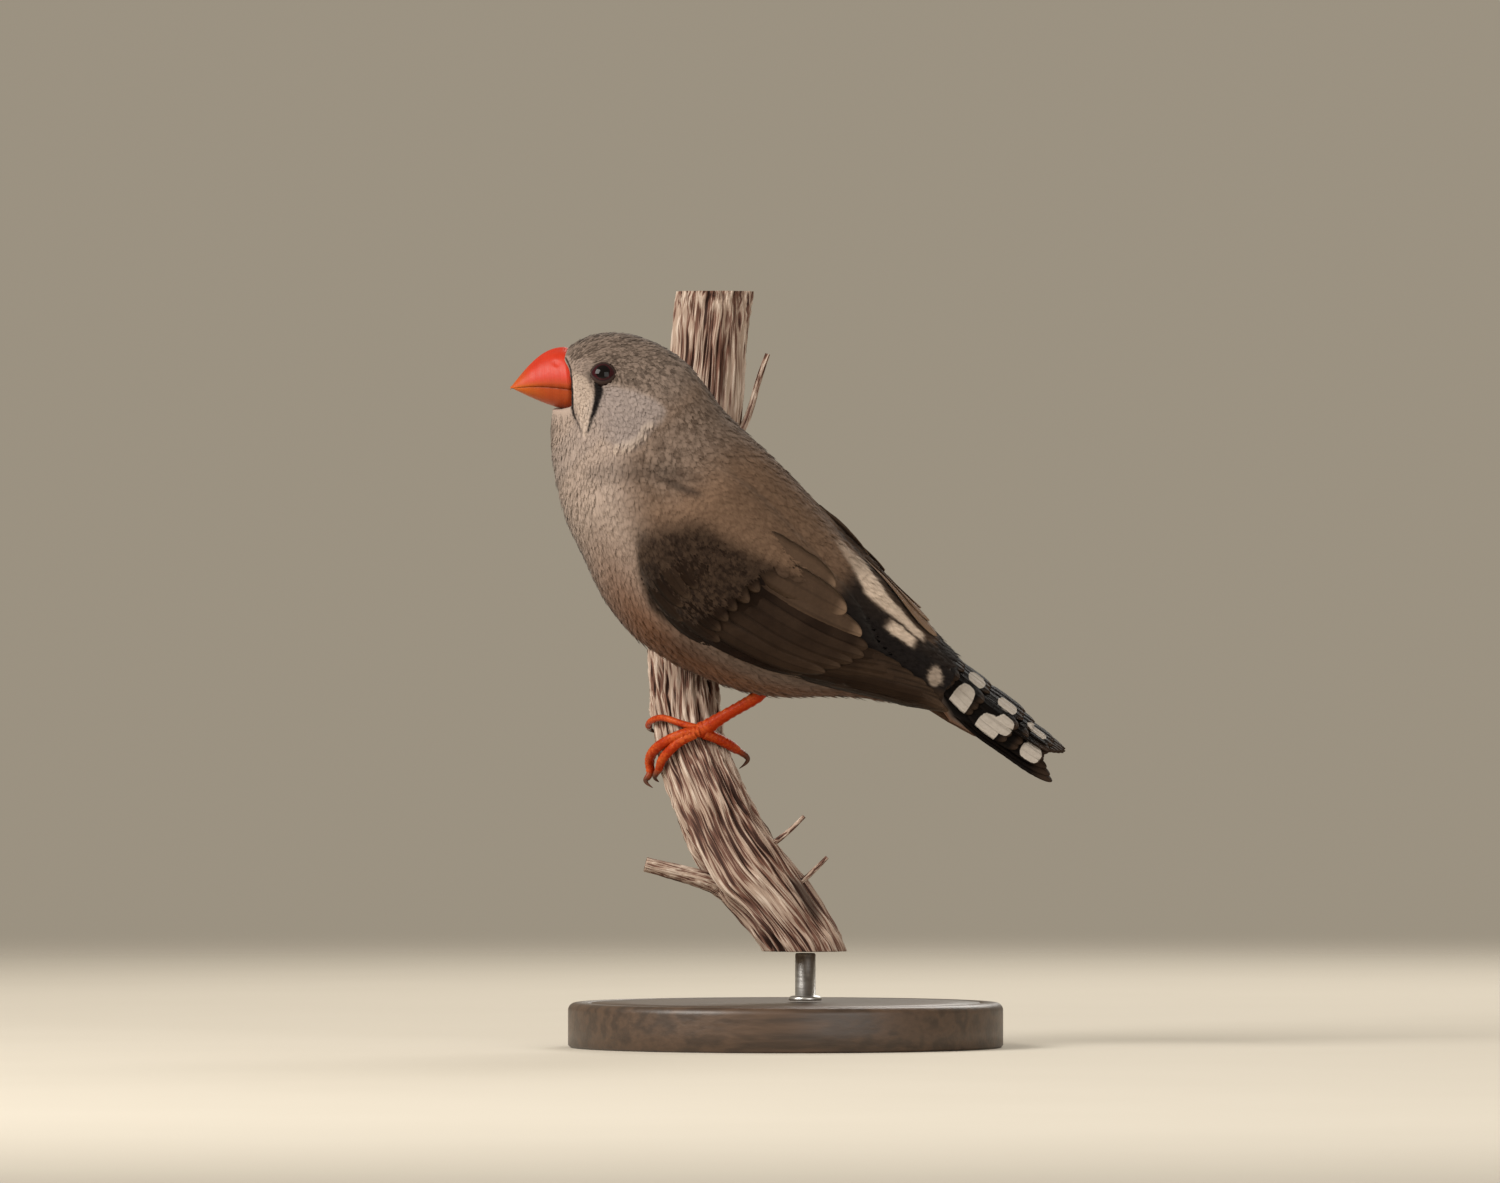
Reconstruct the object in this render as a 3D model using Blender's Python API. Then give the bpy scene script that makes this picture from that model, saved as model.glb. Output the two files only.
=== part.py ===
"""Zebra finch, an adult hen, gripping a short cut length of steep stem on a plain display stand.

Everything is worked out in millimetres and written to Blender in metres. +X runs from the bill to the
tail, the bird's left side faces -Y, +Z is up, and the origin is the middle of the stand's underside.
"""

import math

import bmesh
import bpy
import numpy as np

# Driving sizes, in millimetres unless the name says otherwise.
METRES = 0.001
GAP = 0.3                       # clear space between pieces that touch
BIRD_AT = (-13.6, -6.0, 79.7)   # the shoulder datum that the body stations are measured from
BASE_RADIUS = 34.0
BASE_HEIGHT = 7.0
BASE_BEVEL = 1.2
ROD_RADIUS = 1.6
STEM_CUT = 15.0                 # height of the stem's level lower cut
EYE_RADIUS = 2.3
EYE_STATION = 2.2
EYE_ANGLE = math.radians(69.5)
EYE_DEPTH = 1.15                # how far the eye's middle lies under the plumage
HEAD_END, NECK_END, TORSO_END, RUMP_END = 3.7, 5.2, 12.0, 13.0

# Bill: points from the shoulder datum (x, z), and how far its edges bow up.
BILL_TIP = np.array([-29.3, 23.3])
BILL_ROOT_TOP = np.array([-20.7, 29.3])
BILL_ROOT_GAPE = np.array([-19.6, 23.6])
BILL_ROOT_BELOW = np.array([-19.9, 19.7])
BILL_HALF_WIDTH = 4.4
BILL_POINT = 0.25
BILL_ROLL = math.radians(4.0)
CULMEN_BOW, KEEL_BOW, GAPE_BOW = 1.55, -0.35, 0.35

# Body stations from the bill's root to the tail's root. Each is one cross-section: its back point and
# its belly point from the datum (x, z), its half width, how much fuller it is below, and its roll
# towards the bird's left in degrees.
STATIONS = np.array([
    [-20.8, 29.1, -22.9, 19.8, 3.9, -0.25, 4],
    [-16.9, 31.3, -22.9, 18.3, 6.5, 0.00, 4],
    [-11.6, 31.7, -22.9, 14.6, 7.6, 0.12, 4],
    [-6.2, 30.0, -22.6, 11.1, 8.8, 0.18, 6],
    [-1.2, 26.5, -21.7, 6.6, 10.9, 0.15, 10],
    [3.4, 20.6, -20.3, 1.8, 13.0, 0.08, 15],
    [8.8, 15.2, -17.9, -3.4, 14.4, 0.02, 19],
    [14.6, 9.7, -14.9, -9.9, 14.9, 0.00, 21],
    [20.0, 3.5, -9.1, -16.8, 14.6, 0.00, 23],
    [24.9, -1.8, 0.0, -21.9, 13.4, 0.00, 26],
    [29.3, -6.6, 10.5, -25.1, 11.3, -0.05, 29],
    [32.8, -10.8, 22.3, -24.9, 9.0, -0.10, 31],
    [36.0, -14.5, 31.6, -25.8, 7.2, -0.10, 32],
    [39.3, -18.0, 37.3, -26.5, 6.0, 0.00, 32],
    [42.6, -20.9, 41.6, -28.9, 5.6, 0.00, 32],
])

# Folded wing: its upper and lower edges, as angles in degrees round the body at stations 6 to 13.
WING_STATIONS = (6.0, 13.0)
WING_UPPER = (45, 38, 34, 34, 38, 57, 77, 97)
WING_LOWER = (98, 103, 105, 100, 97, 108, 112, 102)

# Feathers of the folded wing. Each row: root station and angle, tip station and angle (degrees round
# the body), width in mm, and lift off the body at the root and at the tip in mm.
SCAPULARS = np.array([
    [6.1, 66, 7.5, 62, 5.0, 1.9, 2.5],
    [6.2, 54, 7.8, 48, 5.2, 1.9, 2.6],
    [6.6, 44, 8.5, 36, 5.2, 1.6, 2.4],
    [7.2, 52, 9.0, 44, 5.2, 1.6, 2.4],
])
TERTIALS = np.array([
    [7.4, 50, 9.30, 34, 5.6, 1.5, 1.9],
    [7.6, 58, 10.00, 39, 5.6, 1.3, 1.7],
    [7.8, 66, 10.55, 47, 5.4, 1.2, 1.5],
])
PRIMARY_TIPS = np.array([[11.3, 60], [11.9, 65], [12.5, 73], [12.95, 82], [13.3, 91], [13.35, 99]])
PRIMARY_ROOTS = np.array([[8.3, 84], [8.4, 88], [8.5, 92], [8.6, 95], [8.7, 97], [8.8, 99]])
PRIMARY_WIDTH = 4.2
SECONDARY_TIPS = np.array([[10.75, 56], [10.75, 65], [10.6, 75], [10.4, 85], [10.1, 95]])
SECONDARY_ROOTS = np.array([[7.6, 70], [7.5, 78], [7.4, 86], [7.3, 94], [7.3, 101]])
SECONDARY_WIDTH = 4.4
COVERT_ROWS = (
    # count, root station, tip station, first and last angle, width, lift at root and at tip
    (7, 6.9, 8.4, 62, 102, 4.2, 1.5, 2.1),
    (6, 6.4, 7.4, 66, 101, 3.8, 1.6, 2.2),
)
WING_BEND = 0.4                          # how much further back the wing's front edge is low down
VANE_THICKNESS = 0.55
ROOT_CLEAR = 0.5                         # feather roots stop this far short of the gap to the body
FEATHER_VARIES = (0.05, 0.8, 0.04)       # tip station, tip angle and lift
WING_SEEDS = {1: 4, -1: 11}

# Tail, measured from a point on its midline that is given from the shoulder datum (x, z).
TAIL_FROM = (40.0, -23.0)
TAIL_SLOPE = math.radians(-35.1)
TAIL_ROLL = math.radians(33.0)
TAIL_DROOP = math.radians(12.0)          # each half of the tail slopes away from the midline
TAIL_ACROSS = (0.65, 1.8, 2.95, 4.05, 5.0)
TAIL_LENGTHS = (17.9, 18.7, 19.7, 20.6, 20.9)
TAIL_WIDTH = 3.0
TAIL_STEP = 0.28                         # each feather lies this much below its inner neighbour
UPPER_COVERTS = (
    # tip along the tail, distance across of the inner and outer feather, lift
    (2.5, 1.6, 4.0, 1.75),
    (7.5, 1.5, 3.9, 1.35),
    (12.5, 1.4, 3.7, 0.95),
)
COVERT_LENGTH = 8.5

# Stem stations from below the lower cut to the upper one: x, y, z and radius.
STEM = np.array([
    [4.6, 0.0, 11.9, 5.75],
    [-0.1, 0.2, 20.4, 5.75],
    [-6.9, 0.6, 29.2, 5.85],
    [-11.6, 1.7, 37.8, 5.55],
    [-14.3, 3.6, 45.0, 5.20],
    [-15.5, 6.6, 51.2, 5.15],
    [-16.0, 10.9, 58.1, 5.20],
    [-15.9, 15.4, 65.1, 5.20],
    [-15.0, 18.9, 75.1, 5.30],
    [-13.9, 20.7, 87.4, 5.50],
    [-12.7, 21.4, 101.3, 5.70],
    [-11.5, 21.7, 113.6, 5.80],
    [-10.9, 21.8, 119.0, 5.80],
])
STEM_TOP = 118.5                # height of the stem's upper cut
STEM_SIDES = 18
BODY_SIDES = 24
# Twigs that leave the stem: points from a root sunk in it to the tip, with the radius at each.
TWIGS = (
    ((-5.0, 0.6, 21.8, 2.3), (-10.6, -0.4, 25.3, 1.6), (-16.0, -1.2, 27.1, 1.3), (-21.9, -1.6, 28.6, 1.2)),
    ((-6.6, 0.0, 29.6, 0.8), (-1.2, -0.6, 32.4, 0.45), (2.9, -1.0, 36.1, 0.32)),
    ((-2.4, 0.0, 22.4, 0.8), (2.4, -0.4, 25.8, 0.45), (6.5, -0.9, 29.7, 0.32)),
    ((-11.3, 21.0, 91.5, 0.9), (-6.7, 19.2, 97.0, 0.6), (-4.6, 18.4, 103.0, 0.5), (-2.8, 18.0, 108.6, 0.4)),
)

# Toes: height above the ground, turn round the stem from the camera's side in degrees (positive to the
# right), clear space between toe and bark, and radius. Claws: height, turn, distance off the bark.
TOES_LEFT = (
    ((49.8, 16, 0.4, 0.62), (50.6, -8, 0.1, 0.54), (51.3, -28, 0.1, 0.52), (51.4, -46, 0.1, 0.50),
     (50.8, -70, 0.1, 0.48), (50.2, -98, 0.1, 0.44)),
    ((49.4, 16, 0.4, 0.90), (48.9, -6, 0.2, 0.86), (47.9, -30, 0.2, 0.82), (46.5, -57, 0.3, 0.80),
     (44.6, -84, 0.6, 0.76), (42.7, -90, 1.1, 0.62)),
    ((49.0, 10, 0.4, 0.80), (47.8, -12, 0.15, 0.76), (46.4, -30, 0.15, 0.74), (44.8, -50, 0.15, 0.70),
     (43.4, -66, 0.15, 0.58)),
    ((49.0, 22, 0.4, 0.86), (48.4, 38, 0.15, 0.84), (47.3, 62, 0.25, 0.80), (46.3, 86, 0.7, 0.66)),
)
CLAWS_LEFT = (
    ((49.6, -114, 0.5), (48.9, -126, 0.1)),
    ((41.6, -91, 2.3), (40.5, -88, 1.8)),
    ((42.2, -82, 0.8), (41.4, -90, 0.6)),
    ((45.0, 96, 2.0), (43.5, 100, 0.5)),
)
TOES_RIGHT = (
    ((64.6, 84, 0.4, 0.62), (65.6, 112, 0.1, 0.56), (66.6, 150, 0.1, 0.52), (67.0, 186, 0.1, 0.48)),
    ((64.2, 84, 0.4, 0.88), (64.3, 114, 0.1, 0.82), (64.0, 150, 0.1, 0.76), (63.4, 186, 0.1, 0.70),
     (62.8, 214, 0.1, 0.60)),
    ((63.8, 84, 0.4, 0.78), (62.8, 114, 0.1, 0.72), (61.2, 146, 0.1, 0.66), (59.8, 174, 0.1, 0.58)),
    ((64.0, 80, 0.4, 0.84), (64.8, 56, 0.1, 0.78), (66.2, 30, 0.1, 0.70), (67.4, 6, 0.1, 0.62)),
)
CLAWS_RIGHT = (
    ((66.7, 204, 0.6), (65.9, 218, 0.1)),
    ((62.0, 232, 0.7), (61.0, 246, 0.1)),
    ((58.6, 190, 0.6), (57.5, 200, 0.1)),
    ((68.2, -10, 0.6), (68.0, -26, 0.1)),
)
CLAW_ROOT, CLAW_TIP = 0.36, 0.12
# Shank: where it leaves the body (station, angle) and where it meets the foot (height, turn, lift).
SHANK_LEFT = ((9.88, 155.5), (49.6, 21, 1.15))
SHANK_RIGHT = ((9.45, 212.0), (64.2, 84, 1.15))
SHANK_RADIUS = 0.9


# Small helpers

def smooth(values, at):
    """Natural cubic curve through values given at 0, 1, 2 and so on, read at the numbers in at."""
    values = np.asarray(values, float)
    count = len(values)
    at = np.clip(np.asarray(at, float), 0, count - 1)
    system = np.eye(count)
    right = np.zeros_like(values)
    for i in range(1, count - 1):
        system[i, i - 1:i + 2] = 1, 4, 1
        right[i] = 6 * (values[i - 1] - 2 * values[i] + values[i + 1])
    bend = np.linalg.solve(system, right)
    cell = np.minimum(at.astype(int), count - 2)
    f = (at - cell).reshape(at.shape + (1,) * (values.ndim - 1))
    straight = values[cell] * (1 - f) + values[cell + 1] * f
    return straight + (((1 - f) ** 3 - (1 - f)) * bend[cell] + (f ** 3 - f) * bend[cell + 1]) / 6


def unit(vectors):
    """The same vectors at length 1."""
    vectors = np.asarray(vectors, float)
    return vectors / np.maximum(np.linalg.norm(vectors, axis=-1, keepdims=True), 1e-12)


def loft(rings, closed_ends=True):
    """Closed shape through rings of equally many points, as (points, faces)."""
    rings = np.asarray(rings, float)
    count, sides = rings.shape[:2]
    faces = []
    for i in range(count - 1):
        for j in range(sides):
            k = (j + 1) % sides
            faces.append((i * sides + j, i * sides + k, (i + 1) * sides + k, (i + 1) * sides + j))
    if closed_ends:
        faces.append(tuple(range(sides))[::-1])
        faces.append(tuple(range((count - 1) * sides, count * sides)))
    return rings.reshape(-1, 3), faces


def tube(path, radii, sides):
    """Round tube along a path, with a radius at each of its points."""
    path = np.asarray(path, float)
    along = unit(np.gradient(path, axis=0))
    side = unit(np.cross(along[0], (0.31, 0.52, 0.79)))
    rings = []
    for point, direction, radius in zip(path, along, radii):
        side = unit(side - direction * (side @ direction))
        other = np.cross(direction, side)
        turn = np.arange(sides) * 2 * math.pi / sides
        rings.append(point + radius * (np.outer(np.cos(turn), side) + np.outer(np.sin(turn), other)))
    return loft(rings)


def ball(centre, radii, axes=np.eye(3), rows=8, sides=12):
    """Ellipsoid with flat little poles, its three radii along the rows of axes."""
    tilt = np.linspace(0.04, math.pi - 0.04, rows)
    turn = np.arange(sides) * 2 * math.pi / sides
    rings = []
    for a in tilt:
        local = np.stack([np.sin(a) * np.cos(turn), np.sin(a) * np.sin(turn), np.full(sides, np.cos(a))], 1)
        rings.append(np.asarray(centre) + (local * radii) @ np.asarray(axes))
    return loft(rings)


def material(name, colour, roughness, metallic=0.0):
    """Principled material of one colour."""
    made = bpy.data.materials.new(name)
    made.use_nodes = True
    shader = made.node_tree.nodes["Principled BSDF"]
    shader.inputs["Base Color"].default_value = (*colour, 1.0)
    shader.inputs["Roughness"].default_value = roughness
    shader.inputs["Metallic"].default_value = metallic
    return made


def keep_largest(mesh):
    """Leaves only the closed surface of greatest volume in the mesh."""
    shape = bmesh.new()
    shape.from_mesh(mesh)
    bmesh.ops.triangulate(shape, faces=shape.faces)
    waiting = set(shape.faces)
    groups = []
    while waiting:
        found, front = set(), [waiting.pop()]
        while front:
            face = front.pop()
            found.add(face)
            for edge in face.edges:
                for near in edge.link_faces if len(edge.link_faces) == 2 else ():
                    if near in waiting:
                        waiting.discard(near)
                        front.append(near)
        volume = sum(f.verts[0].co.dot(f.verts[1].co.cross(f.verts[2].co)) for f in found)
        groups.append((volume, found))
    groups.sort(key=lambda group: group[0])
    dropped = [face for _, found in groups[:-1] for face in found]
    bmesh.ops.delete(shape, geom=dropped, context="FACES")
    shape.to_mesh(mesh)
    shape.free()


def mesh_object(name, shape):
    """Object from (points, faces) in millimetres, its faces turned outwards."""
    points, faces = shape
    mesh = bpy.data.meshes.new(name)
    mesh.from_pydata([tuple(p) for p in np.asarray(points) * METRES], [], faces)
    work = bmesh.new()
    work.from_mesh(mesh)
    bmesh.ops.recalc_face_normals(work, faces=work.faces)
    work.to_mesh(mesh)
    work.free()
    made = bpy.data.objects.new(name, mesh)
    bpy.context.scene.collection.objects.link(made)
    return made


def apply_boolean(target, others, operation):
    """Joins or cuts target with the other objects in one Boolean, then removes them."""
    group = bpy.data.collections.new(target.name + "_others")
    bpy.context.scene.collection.children.link(group)
    for other in others:
        bpy.context.scene.collection.objects.unlink(other)
        group.objects.link(other)
    modifier = target.modifiers.new("boolean", "BOOLEAN")
    modifier.operand_type = "COLLECTION"
    modifier.collection = group
    modifier.operation = operation
    modifier.solver = "MANIFOLD"
    bpy.context.view_layer.update()
    graph = bpy.context.evaluated_depsgraph_get()
    result = bpy.data.meshes.new_from_object(target.evaluated_get(graph))
    target.modifiers.clear()
    target.data = result
    for other in others:
        bpy.data.objects.remove(other)
    bpy.data.collections.remove(group)


def node(name, shapes, finish, cutters=()):
    """One named closed body: the shapes joined, the cutters taken away, the largest surface kept."""
    made = mesh_object(name, shapes[0])
    if len(shapes) > 1:
        apply_boolean(made, [mesh_object(f"{name}_{i}", s) for i, s in enumerate(shapes[1:])], "UNION")
    if cutters:
        apply_boolean(made, [mesh_object(f"{name}_cut{i}", s) for i, s in enumerate(cutters)], "DIFFERENCE")
    keep_largest(made.data)
    made.data.name = name
    made.data.materials.clear()
    made.data.materials.append(finish)
    made.data.shade_smooth()
    made.data.set_sharp_from_angle(angle=math.radians(40))
    return made


# Body surface

def section(t):
    """Middle, up vector, left vector, half height, half width and fullness of the section at t."""
    row = smooth(STATIONS, t)
    back, belly = row[..., 0:2], row[..., 2:4]
    middle2 = (back + belly) / 2
    rise2 = (back - belly) / 2
    half_height = np.linalg.norm(rise2, axis=-1, keepdims=True)
    zero = np.zeros_like(half_height)
    middle = np.concatenate([middle2[..., :1], zero, middle2[..., 1:]], -1) + np.array(BIRD_AT)
    flat_up = np.concatenate([rise2[..., :1], zero, rise2[..., 1:]], -1) / half_height
    near = np.array([0.0, -1.0, 0.0])
    roll = np.radians(row[..., 6:7])
    up = np.cos(roll) * flat_up + np.sin(roll) * near
    left = np.cos(roll) * near - np.sin(roll) * flat_up
    return middle, up, left, half_height, row[..., 4:5], row[..., 5:6]


def body_point(t, angle):
    """Point of the plumage at station t, at an angle from the mid back towards the bird's left."""
    middle, up, left, half_height, half_width, fullness = section(t)
    angle = np.asarray(angle, float)[..., None]
    wide = half_width * np.sin(angle) * (1 - fullness * np.cos(angle))
    return middle + half_height * np.cos(angle) * up + wide * left


def body_normal(t, angle):
    """Outward unit normal of the plumage surface."""
    t, angle = np.broadcast_arrays(np.asarray(t, float), np.asarray(angle, float))
    step = 0.02
    low, high = np.maximum(t - step, 0), np.minimum(t + step, len(STATIONS) - 1)
    along = body_point(high, angle) - body_point(low, angle)
    around = body_point(t, angle + step) - body_point(t, angle - step)
    return unit(np.cross(around, along))


def body_offset(t, angle, lift):
    """Point lifted off the plumage along its normal."""
    t, angle = np.broadcast_arrays(np.asarray(t, float), np.asarray(angle, float))
    return body_point(t, angle) + np.asarray(lift, float)[..., None] * body_normal(t, angle)


def body_loft(start, end, rings, sides, lift=0.0, trim=GAP / 2):
    """Closed length of the body between two stations, each end drawn back by trim along its plane."""
    stations = np.linspace(start, end, rings)
    turn = np.arange(sides) * 2 * math.pi / sides
    grid = body_offset(stations[:, None], turn[None, :], np.full((rings, sides), lift))
    for row, sign in ((0, 1), (-1, -1)):
        middle, up, left = section(stations[row])[:3]
        axis = unit(np.cross(up, left))
        ahead = section(min(stations[row] + 0.1, len(STATIONS) - 1))[0] - middle
        if axis @ ahead < 0 and stations[row] + 0.1 < len(STATIONS) - 1:
            axis = -axis
        flat = body_point(np.full(sides, stations[row]), turn)
        grid[row] = flat + sign * trim * axis
    return loft(grid)


# Bill

def bill_half(top, grow=0.0, rows=9, sides=13):
    """Upper or lower mandible: half-round sections that shrink from the root to the tip.

    grow makes the room that the head leaves round the bill.
    """
    q = np.linspace(0, 1, rows) ** 0.85
    sign = 1.0 if top else -1.0
    edge = BILL_ROOT_TOP if top else BILL_ROOT_BELOW
    outer = edge + np.outer(q, BILL_TIP - edge)
    outer[:, 1] += (CULMEN_BOW if top else KEEL_BOW) * np.sin(math.pi * q ** 0.9)
    gape = BILL_ROOT_GAPE + np.outer(q, BILL_TIP - BILL_ROOT_GAPE)
    gape[:, 1] += GAPE_BOW * np.sin(math.pi * q) + sign * (GAP / 2 if grow == 0 else -0.01)
    rise = outer - gape
    rise[-1] = 0.0, sign * BILL_POINT
    rise *= 1 + grow / np.linalg.norm(rise, axis=1, keepdims=True)
    wide = BILL_HALF_WIDTH * (1.0 if top else 0.93) * (1 - q) ** 0.72 * (1 - 0.12 * q) + BILL_POINT + grow
    turn = np.linspace(0, math.pi, sides)
    height = np.abs(np.sin(turn)) ** 0.85
    height[[0, -1]] = 0.0
    x = gape[:, :1] + rise[:, :1] * height
    z = gape[:, 1:] + rise[:, 1:] * height
    y = -wide[:, None] * np.cos(turn)
    rings = np.stack([x, y * math.cos(BILL_ROLL), z + y * math.sin(BILL_ROLL)], -1) + np.array(BIRD_AT)
    rings[0, :, 0] += grow
    rings[-1, :, 0] -= grow
    return loft(rings)


def nostril(side):
    """Small pit in the upper mandible, close to the edge of the feathers."""
    place = np.array(BIRD_AT) + np.array([BILL_ROOT_TOP[0] - 1.5, -side * 2.75, BILL_ROOT_TOP[1] - 2.3])
    return ball(place, np.array([0.45, 0.55, 0.32]), rows=5, sides=6)


# Materials, colours read from the plumage

GREY = material("plumage_grey", (0.20, 0.175, 0.15), 0.85)
PALE = material("plumage_pale", (0.42, 0.37, 0.31), 0.85)
BROWN = material("wing_brown", (0.075, 0.05, 0.035), 0.75)
BLACK = material("tail_black", (0.02, 0.018, 0.018), 0.7)
ORANGE = material("bill_orange", (0.85, 0.16, 0.03), 0.35)
LEG = material("leg_orange", (0.72, 0.14, 0.03), 0.5)
EYE = material("eye_dark", (0.03, 0.005, 0.005), 0.08)
BARK = material("bark", (0.23, 0.17, 0.13), 0.85)
STAND = material("stand_wood", (0.035, 0.022, 0.015), 0.4)
METAL = material("rod_steel", (0.5, 0.5, 0.5), 0.3, 1.0)


# Feathers

def vane(centre, side, normal, half_widths, below=VANE_THICKNESS / 2):
    """Flat feather: six-sided sections along its shaft, both faces split into like triangles.

    below is how far its under face lies from the shaft, more where the root is sunk in.
    """
    centre, side, normal = (np.asarray(a, float) for a in (centre, side, normal))
    count = len(centre)
    half = np.asarray(half_widths, float)[:, None]
    ridge, edge = VANE_THICKNESS / 2, VANE_THICKNESS * 0.32
    ridge_below = np.broadcast_to(below, count)[:, None]
    edge_below = ridge_below - (ridge - edge)
    rings = np.stack([
        centre - side * half + normal * edge, centre + normal * ridge, centre + side * half + normal * edge,
        centre + side * half - normal * edge_below, centre - normal * ridge_below,
        centre - side * half - normal * edge_below,
    ], 1)
    faces = []
    for i in range(count - 1):
        for j in range(6):
            k = (j + 1) % 6
            a, b, c, d = i * 6 + j, i * 6 + k, (i + 1) * 6 + k, (i + 1) * 6 + j
            faces += [(a, b, c), (a, c, d)] if j in (0, 1, 2) else [(a, b, d), (b, c, d)]
    first, last = 0, (count - 1) * 6
    for start, order in ((first, -1), (last, 1)):
        for cap in ((0, 1, 4, 5), (1, 2, 3, 4)):
            faces.append(tuple(start + i for i in cap)[::order])
    return rings.reshape(-1, 3), faces


def body_vane(root, tip, width, lifts, side, draw, rows=5, tilt=6.0):
    """Feather that lies along the body between two (station, angle) places, its lower edge raised.

    draw is the wing's random source: no two feathers are quite alike.
    """
    s = np.linspace(0, 1, rows) ** 0.85
    end_shift, turn_shift, lift_shift = draw.uniform(-1, 1, 3) * FEATHER_VARIES
    t = root[0] + (tip[0] + end_shift - root[0]) * s
    angle = np.radians(root[1] + (tip[1] + turn_shift - root[1]) * s) * side
    lift = lifts[0] + (lifts[1] - lifts[0]) * s + lift_shift
    centre = body_offset(t, angle, lift)
    normal = body_normal(t, angle)
    along = unit(np.gradient(centre, axis=0))
    across = unit(np.cross(normal, along))
    lean = math.radians(tilt) * side
    turned = np.cos(lean) * across + np.sin(lean) * normal
    normal = np.cos(lean) * normal - np.sin(lean) * across
    profile = np.interp(s, (0, 0.25, 0.75, 0.93, 1.0), (0.7, 1.0, 1.0, 0.72, 0.22))
    sunk = np.interp(s, (0, 0.5, 0.75, 1.0), (1.4, 1.1, 0.4, VANE_THICKNESS / 2))
    below = np.clip(sunk, 0.2, np.maximum(lift - GAP - ROOT_CLEAR, 0.2))
    return vane(centre, turned, normal, width / 2 * profile, below)


def wing_edges(t):
    """Upper and lower edge angles of the folded wing at station t, in radians."""
    place = np.asarray(t, float) - WING_STATIONS[0]
    return np.radians(smooth(WING_UPPER, place)), np.radians(smooth(WING_LOWER, place))


def wing_core(side, start, end, thickness, rows=12, across=6, lift=GAP + 0.12):
    """Closed pad that hugs the body's side under the feathers; side is 1 for left, -1 for right."""
    t = start + (end - start) * np.linspace(0, 1, rows) ** 1.3
    upper, lower = wing_edges(np.maximum(t, WING_STATIONS[0]))
    front = np.clip((t - start) / 1.1, 0, 1)
    opening = np.sqrt(1 - (1 - front) ** 2) * 0.9 + 0.1
    middle = lower - (lower - upper) * 0.42
    upper = middle + (upper - middle) * opening
    lower = middle + (lower - middle) * opening
    v = np.linspace(0, 1, across)
    angle = (upper[:, None] * (1 - v) + lower[:, None] * v) * side
    stations = np.broadcast_to(t[:, None], angle.shape)
    crown = np.sin(math.pi * (0.1 + 0.8 * v))[None, :] * (0.25 + 0.75 * opening[:, None])
    depth = 0.5 + (thickness - 0.5) * crown * np.clip((end - t) / 3, 0.1, 1)[:, None]
    under = np.broadcast_to(lift + 0.25 * (1 - front[:, None]), angle.shape)
    inner = body_offset(stations, angle, under)
    outer = body_offset(stations, angle, under + depth)
    rings = np.concatenate([outer, inner[:, ::-1]], 1)
    return loft(rings)


def wing_shapes(side):
    """Core pad and every feather of one folded wing, in tiers."""
    draw = np.random.default_rng(WING_SEEDS[side])
    shapes = [wing_core(side, 6.0, 12.6, 1.5)]
    for i, (root, tip) in enumerate(zip(PRIMARY_ROOTS, PRIMARY_TIPS)):
        lift = 1.4 - 0.08 * i
        shapes.append(body_vane(root, tip, PRIMARY_WIDTH, (lift - 0.1, lift), side, draw, rows=6))
    for i, (root, tip) in enumerate(zip(SECONDARY_ROOTS, SECONDARY_TIPS)):
        lift = 1.55 - 0.05 * i
        shapes.append(body_vane(root, tip, SECONDARY_WIDTH, (lift - 0.2, lift), side, draw))
    for row in TERTIALS:
        shapes.append(body_vane(row[0:2], row[2:4], row[4], row[5:7], side, draw, tilt=3))
    for count, start, end, first, last, width, low, high in COVERT_ROWS:
        for i in range(count):
            angle = first + (last - first) * i / (count - 1)
            along = WING_BEND * (i / (count - 1)) ** 2
            shapes.append(body_vane((start + along, angle), (end + along, angle + 2), width, (low, high),
                                    side, draw, rows=4, tilt=5))
    for row in SCAPULARS:
        shapes.append(body_vane(row[0:2], row[2:4], row[4], row[5:7], side, draw, rows=4, tilt=3))
    return shapes


def tail_axes():
    """Middle of the tail's root, its direction, and its up and left vectors."""
    start = np.array(BIRD_AT) + np.array([TAIL_FROM[0], 0.0, TAIL_FROM[1]])
    direction = np.array([math.cos(TAIL_SLOPE), 0.0, math.sin(TAIL_SLOPE)])
    flat_up = np.array([-direction[2], 0.0, direction[0]])
    near = np.array([0.0, -1.0, 0.0])
    up = math.cos(TAIL_ROLL) * flat_up + math.sin(TAIL_ROLL) * near
    left = math.cos(TAIL_ROLL) * near - math.sin(TAIL_ROLL) * flat_up
    return start, direction, up, left


def tail_vane(across, start, end, width, lift, sign, rows=5, pinch=0.45):
    """Feather of the tail at a distance across from the midline, sign 1 for the left half."""
    origin, direction, up, left = tail_axes()
    s = np.linspace(0, 1, rows) ** 0.8
    run = start + (end - start) * s
    spread = across * (pinch + (1 - pinch) * np.clip((run + 7) / 14, 0, 1))
    outward = sign * math.cos(TAIL_DROOP) * left - math.sin(TAIL_DROOP) * up
    plane_up = math.cos(TAIL_DROOP) * up + sign * math.sin(TAIL_DROOP) * left
    centre = origin + np.outer(run, direction) + np.outer(spread, outward) + lift * plane_up
    profile = np.interp(s, (0, 0.2, 0.8, 0.94, 1.0), (0.7, 1.0, 1.0, 0.75, 0.25))
    side = np.broadcast_to(outward, centre.shape)
    normal = np.broadcast_to(plane_up, centre.shape)
    return vane(centre, side, normal, width / 2 * profile)


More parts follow.
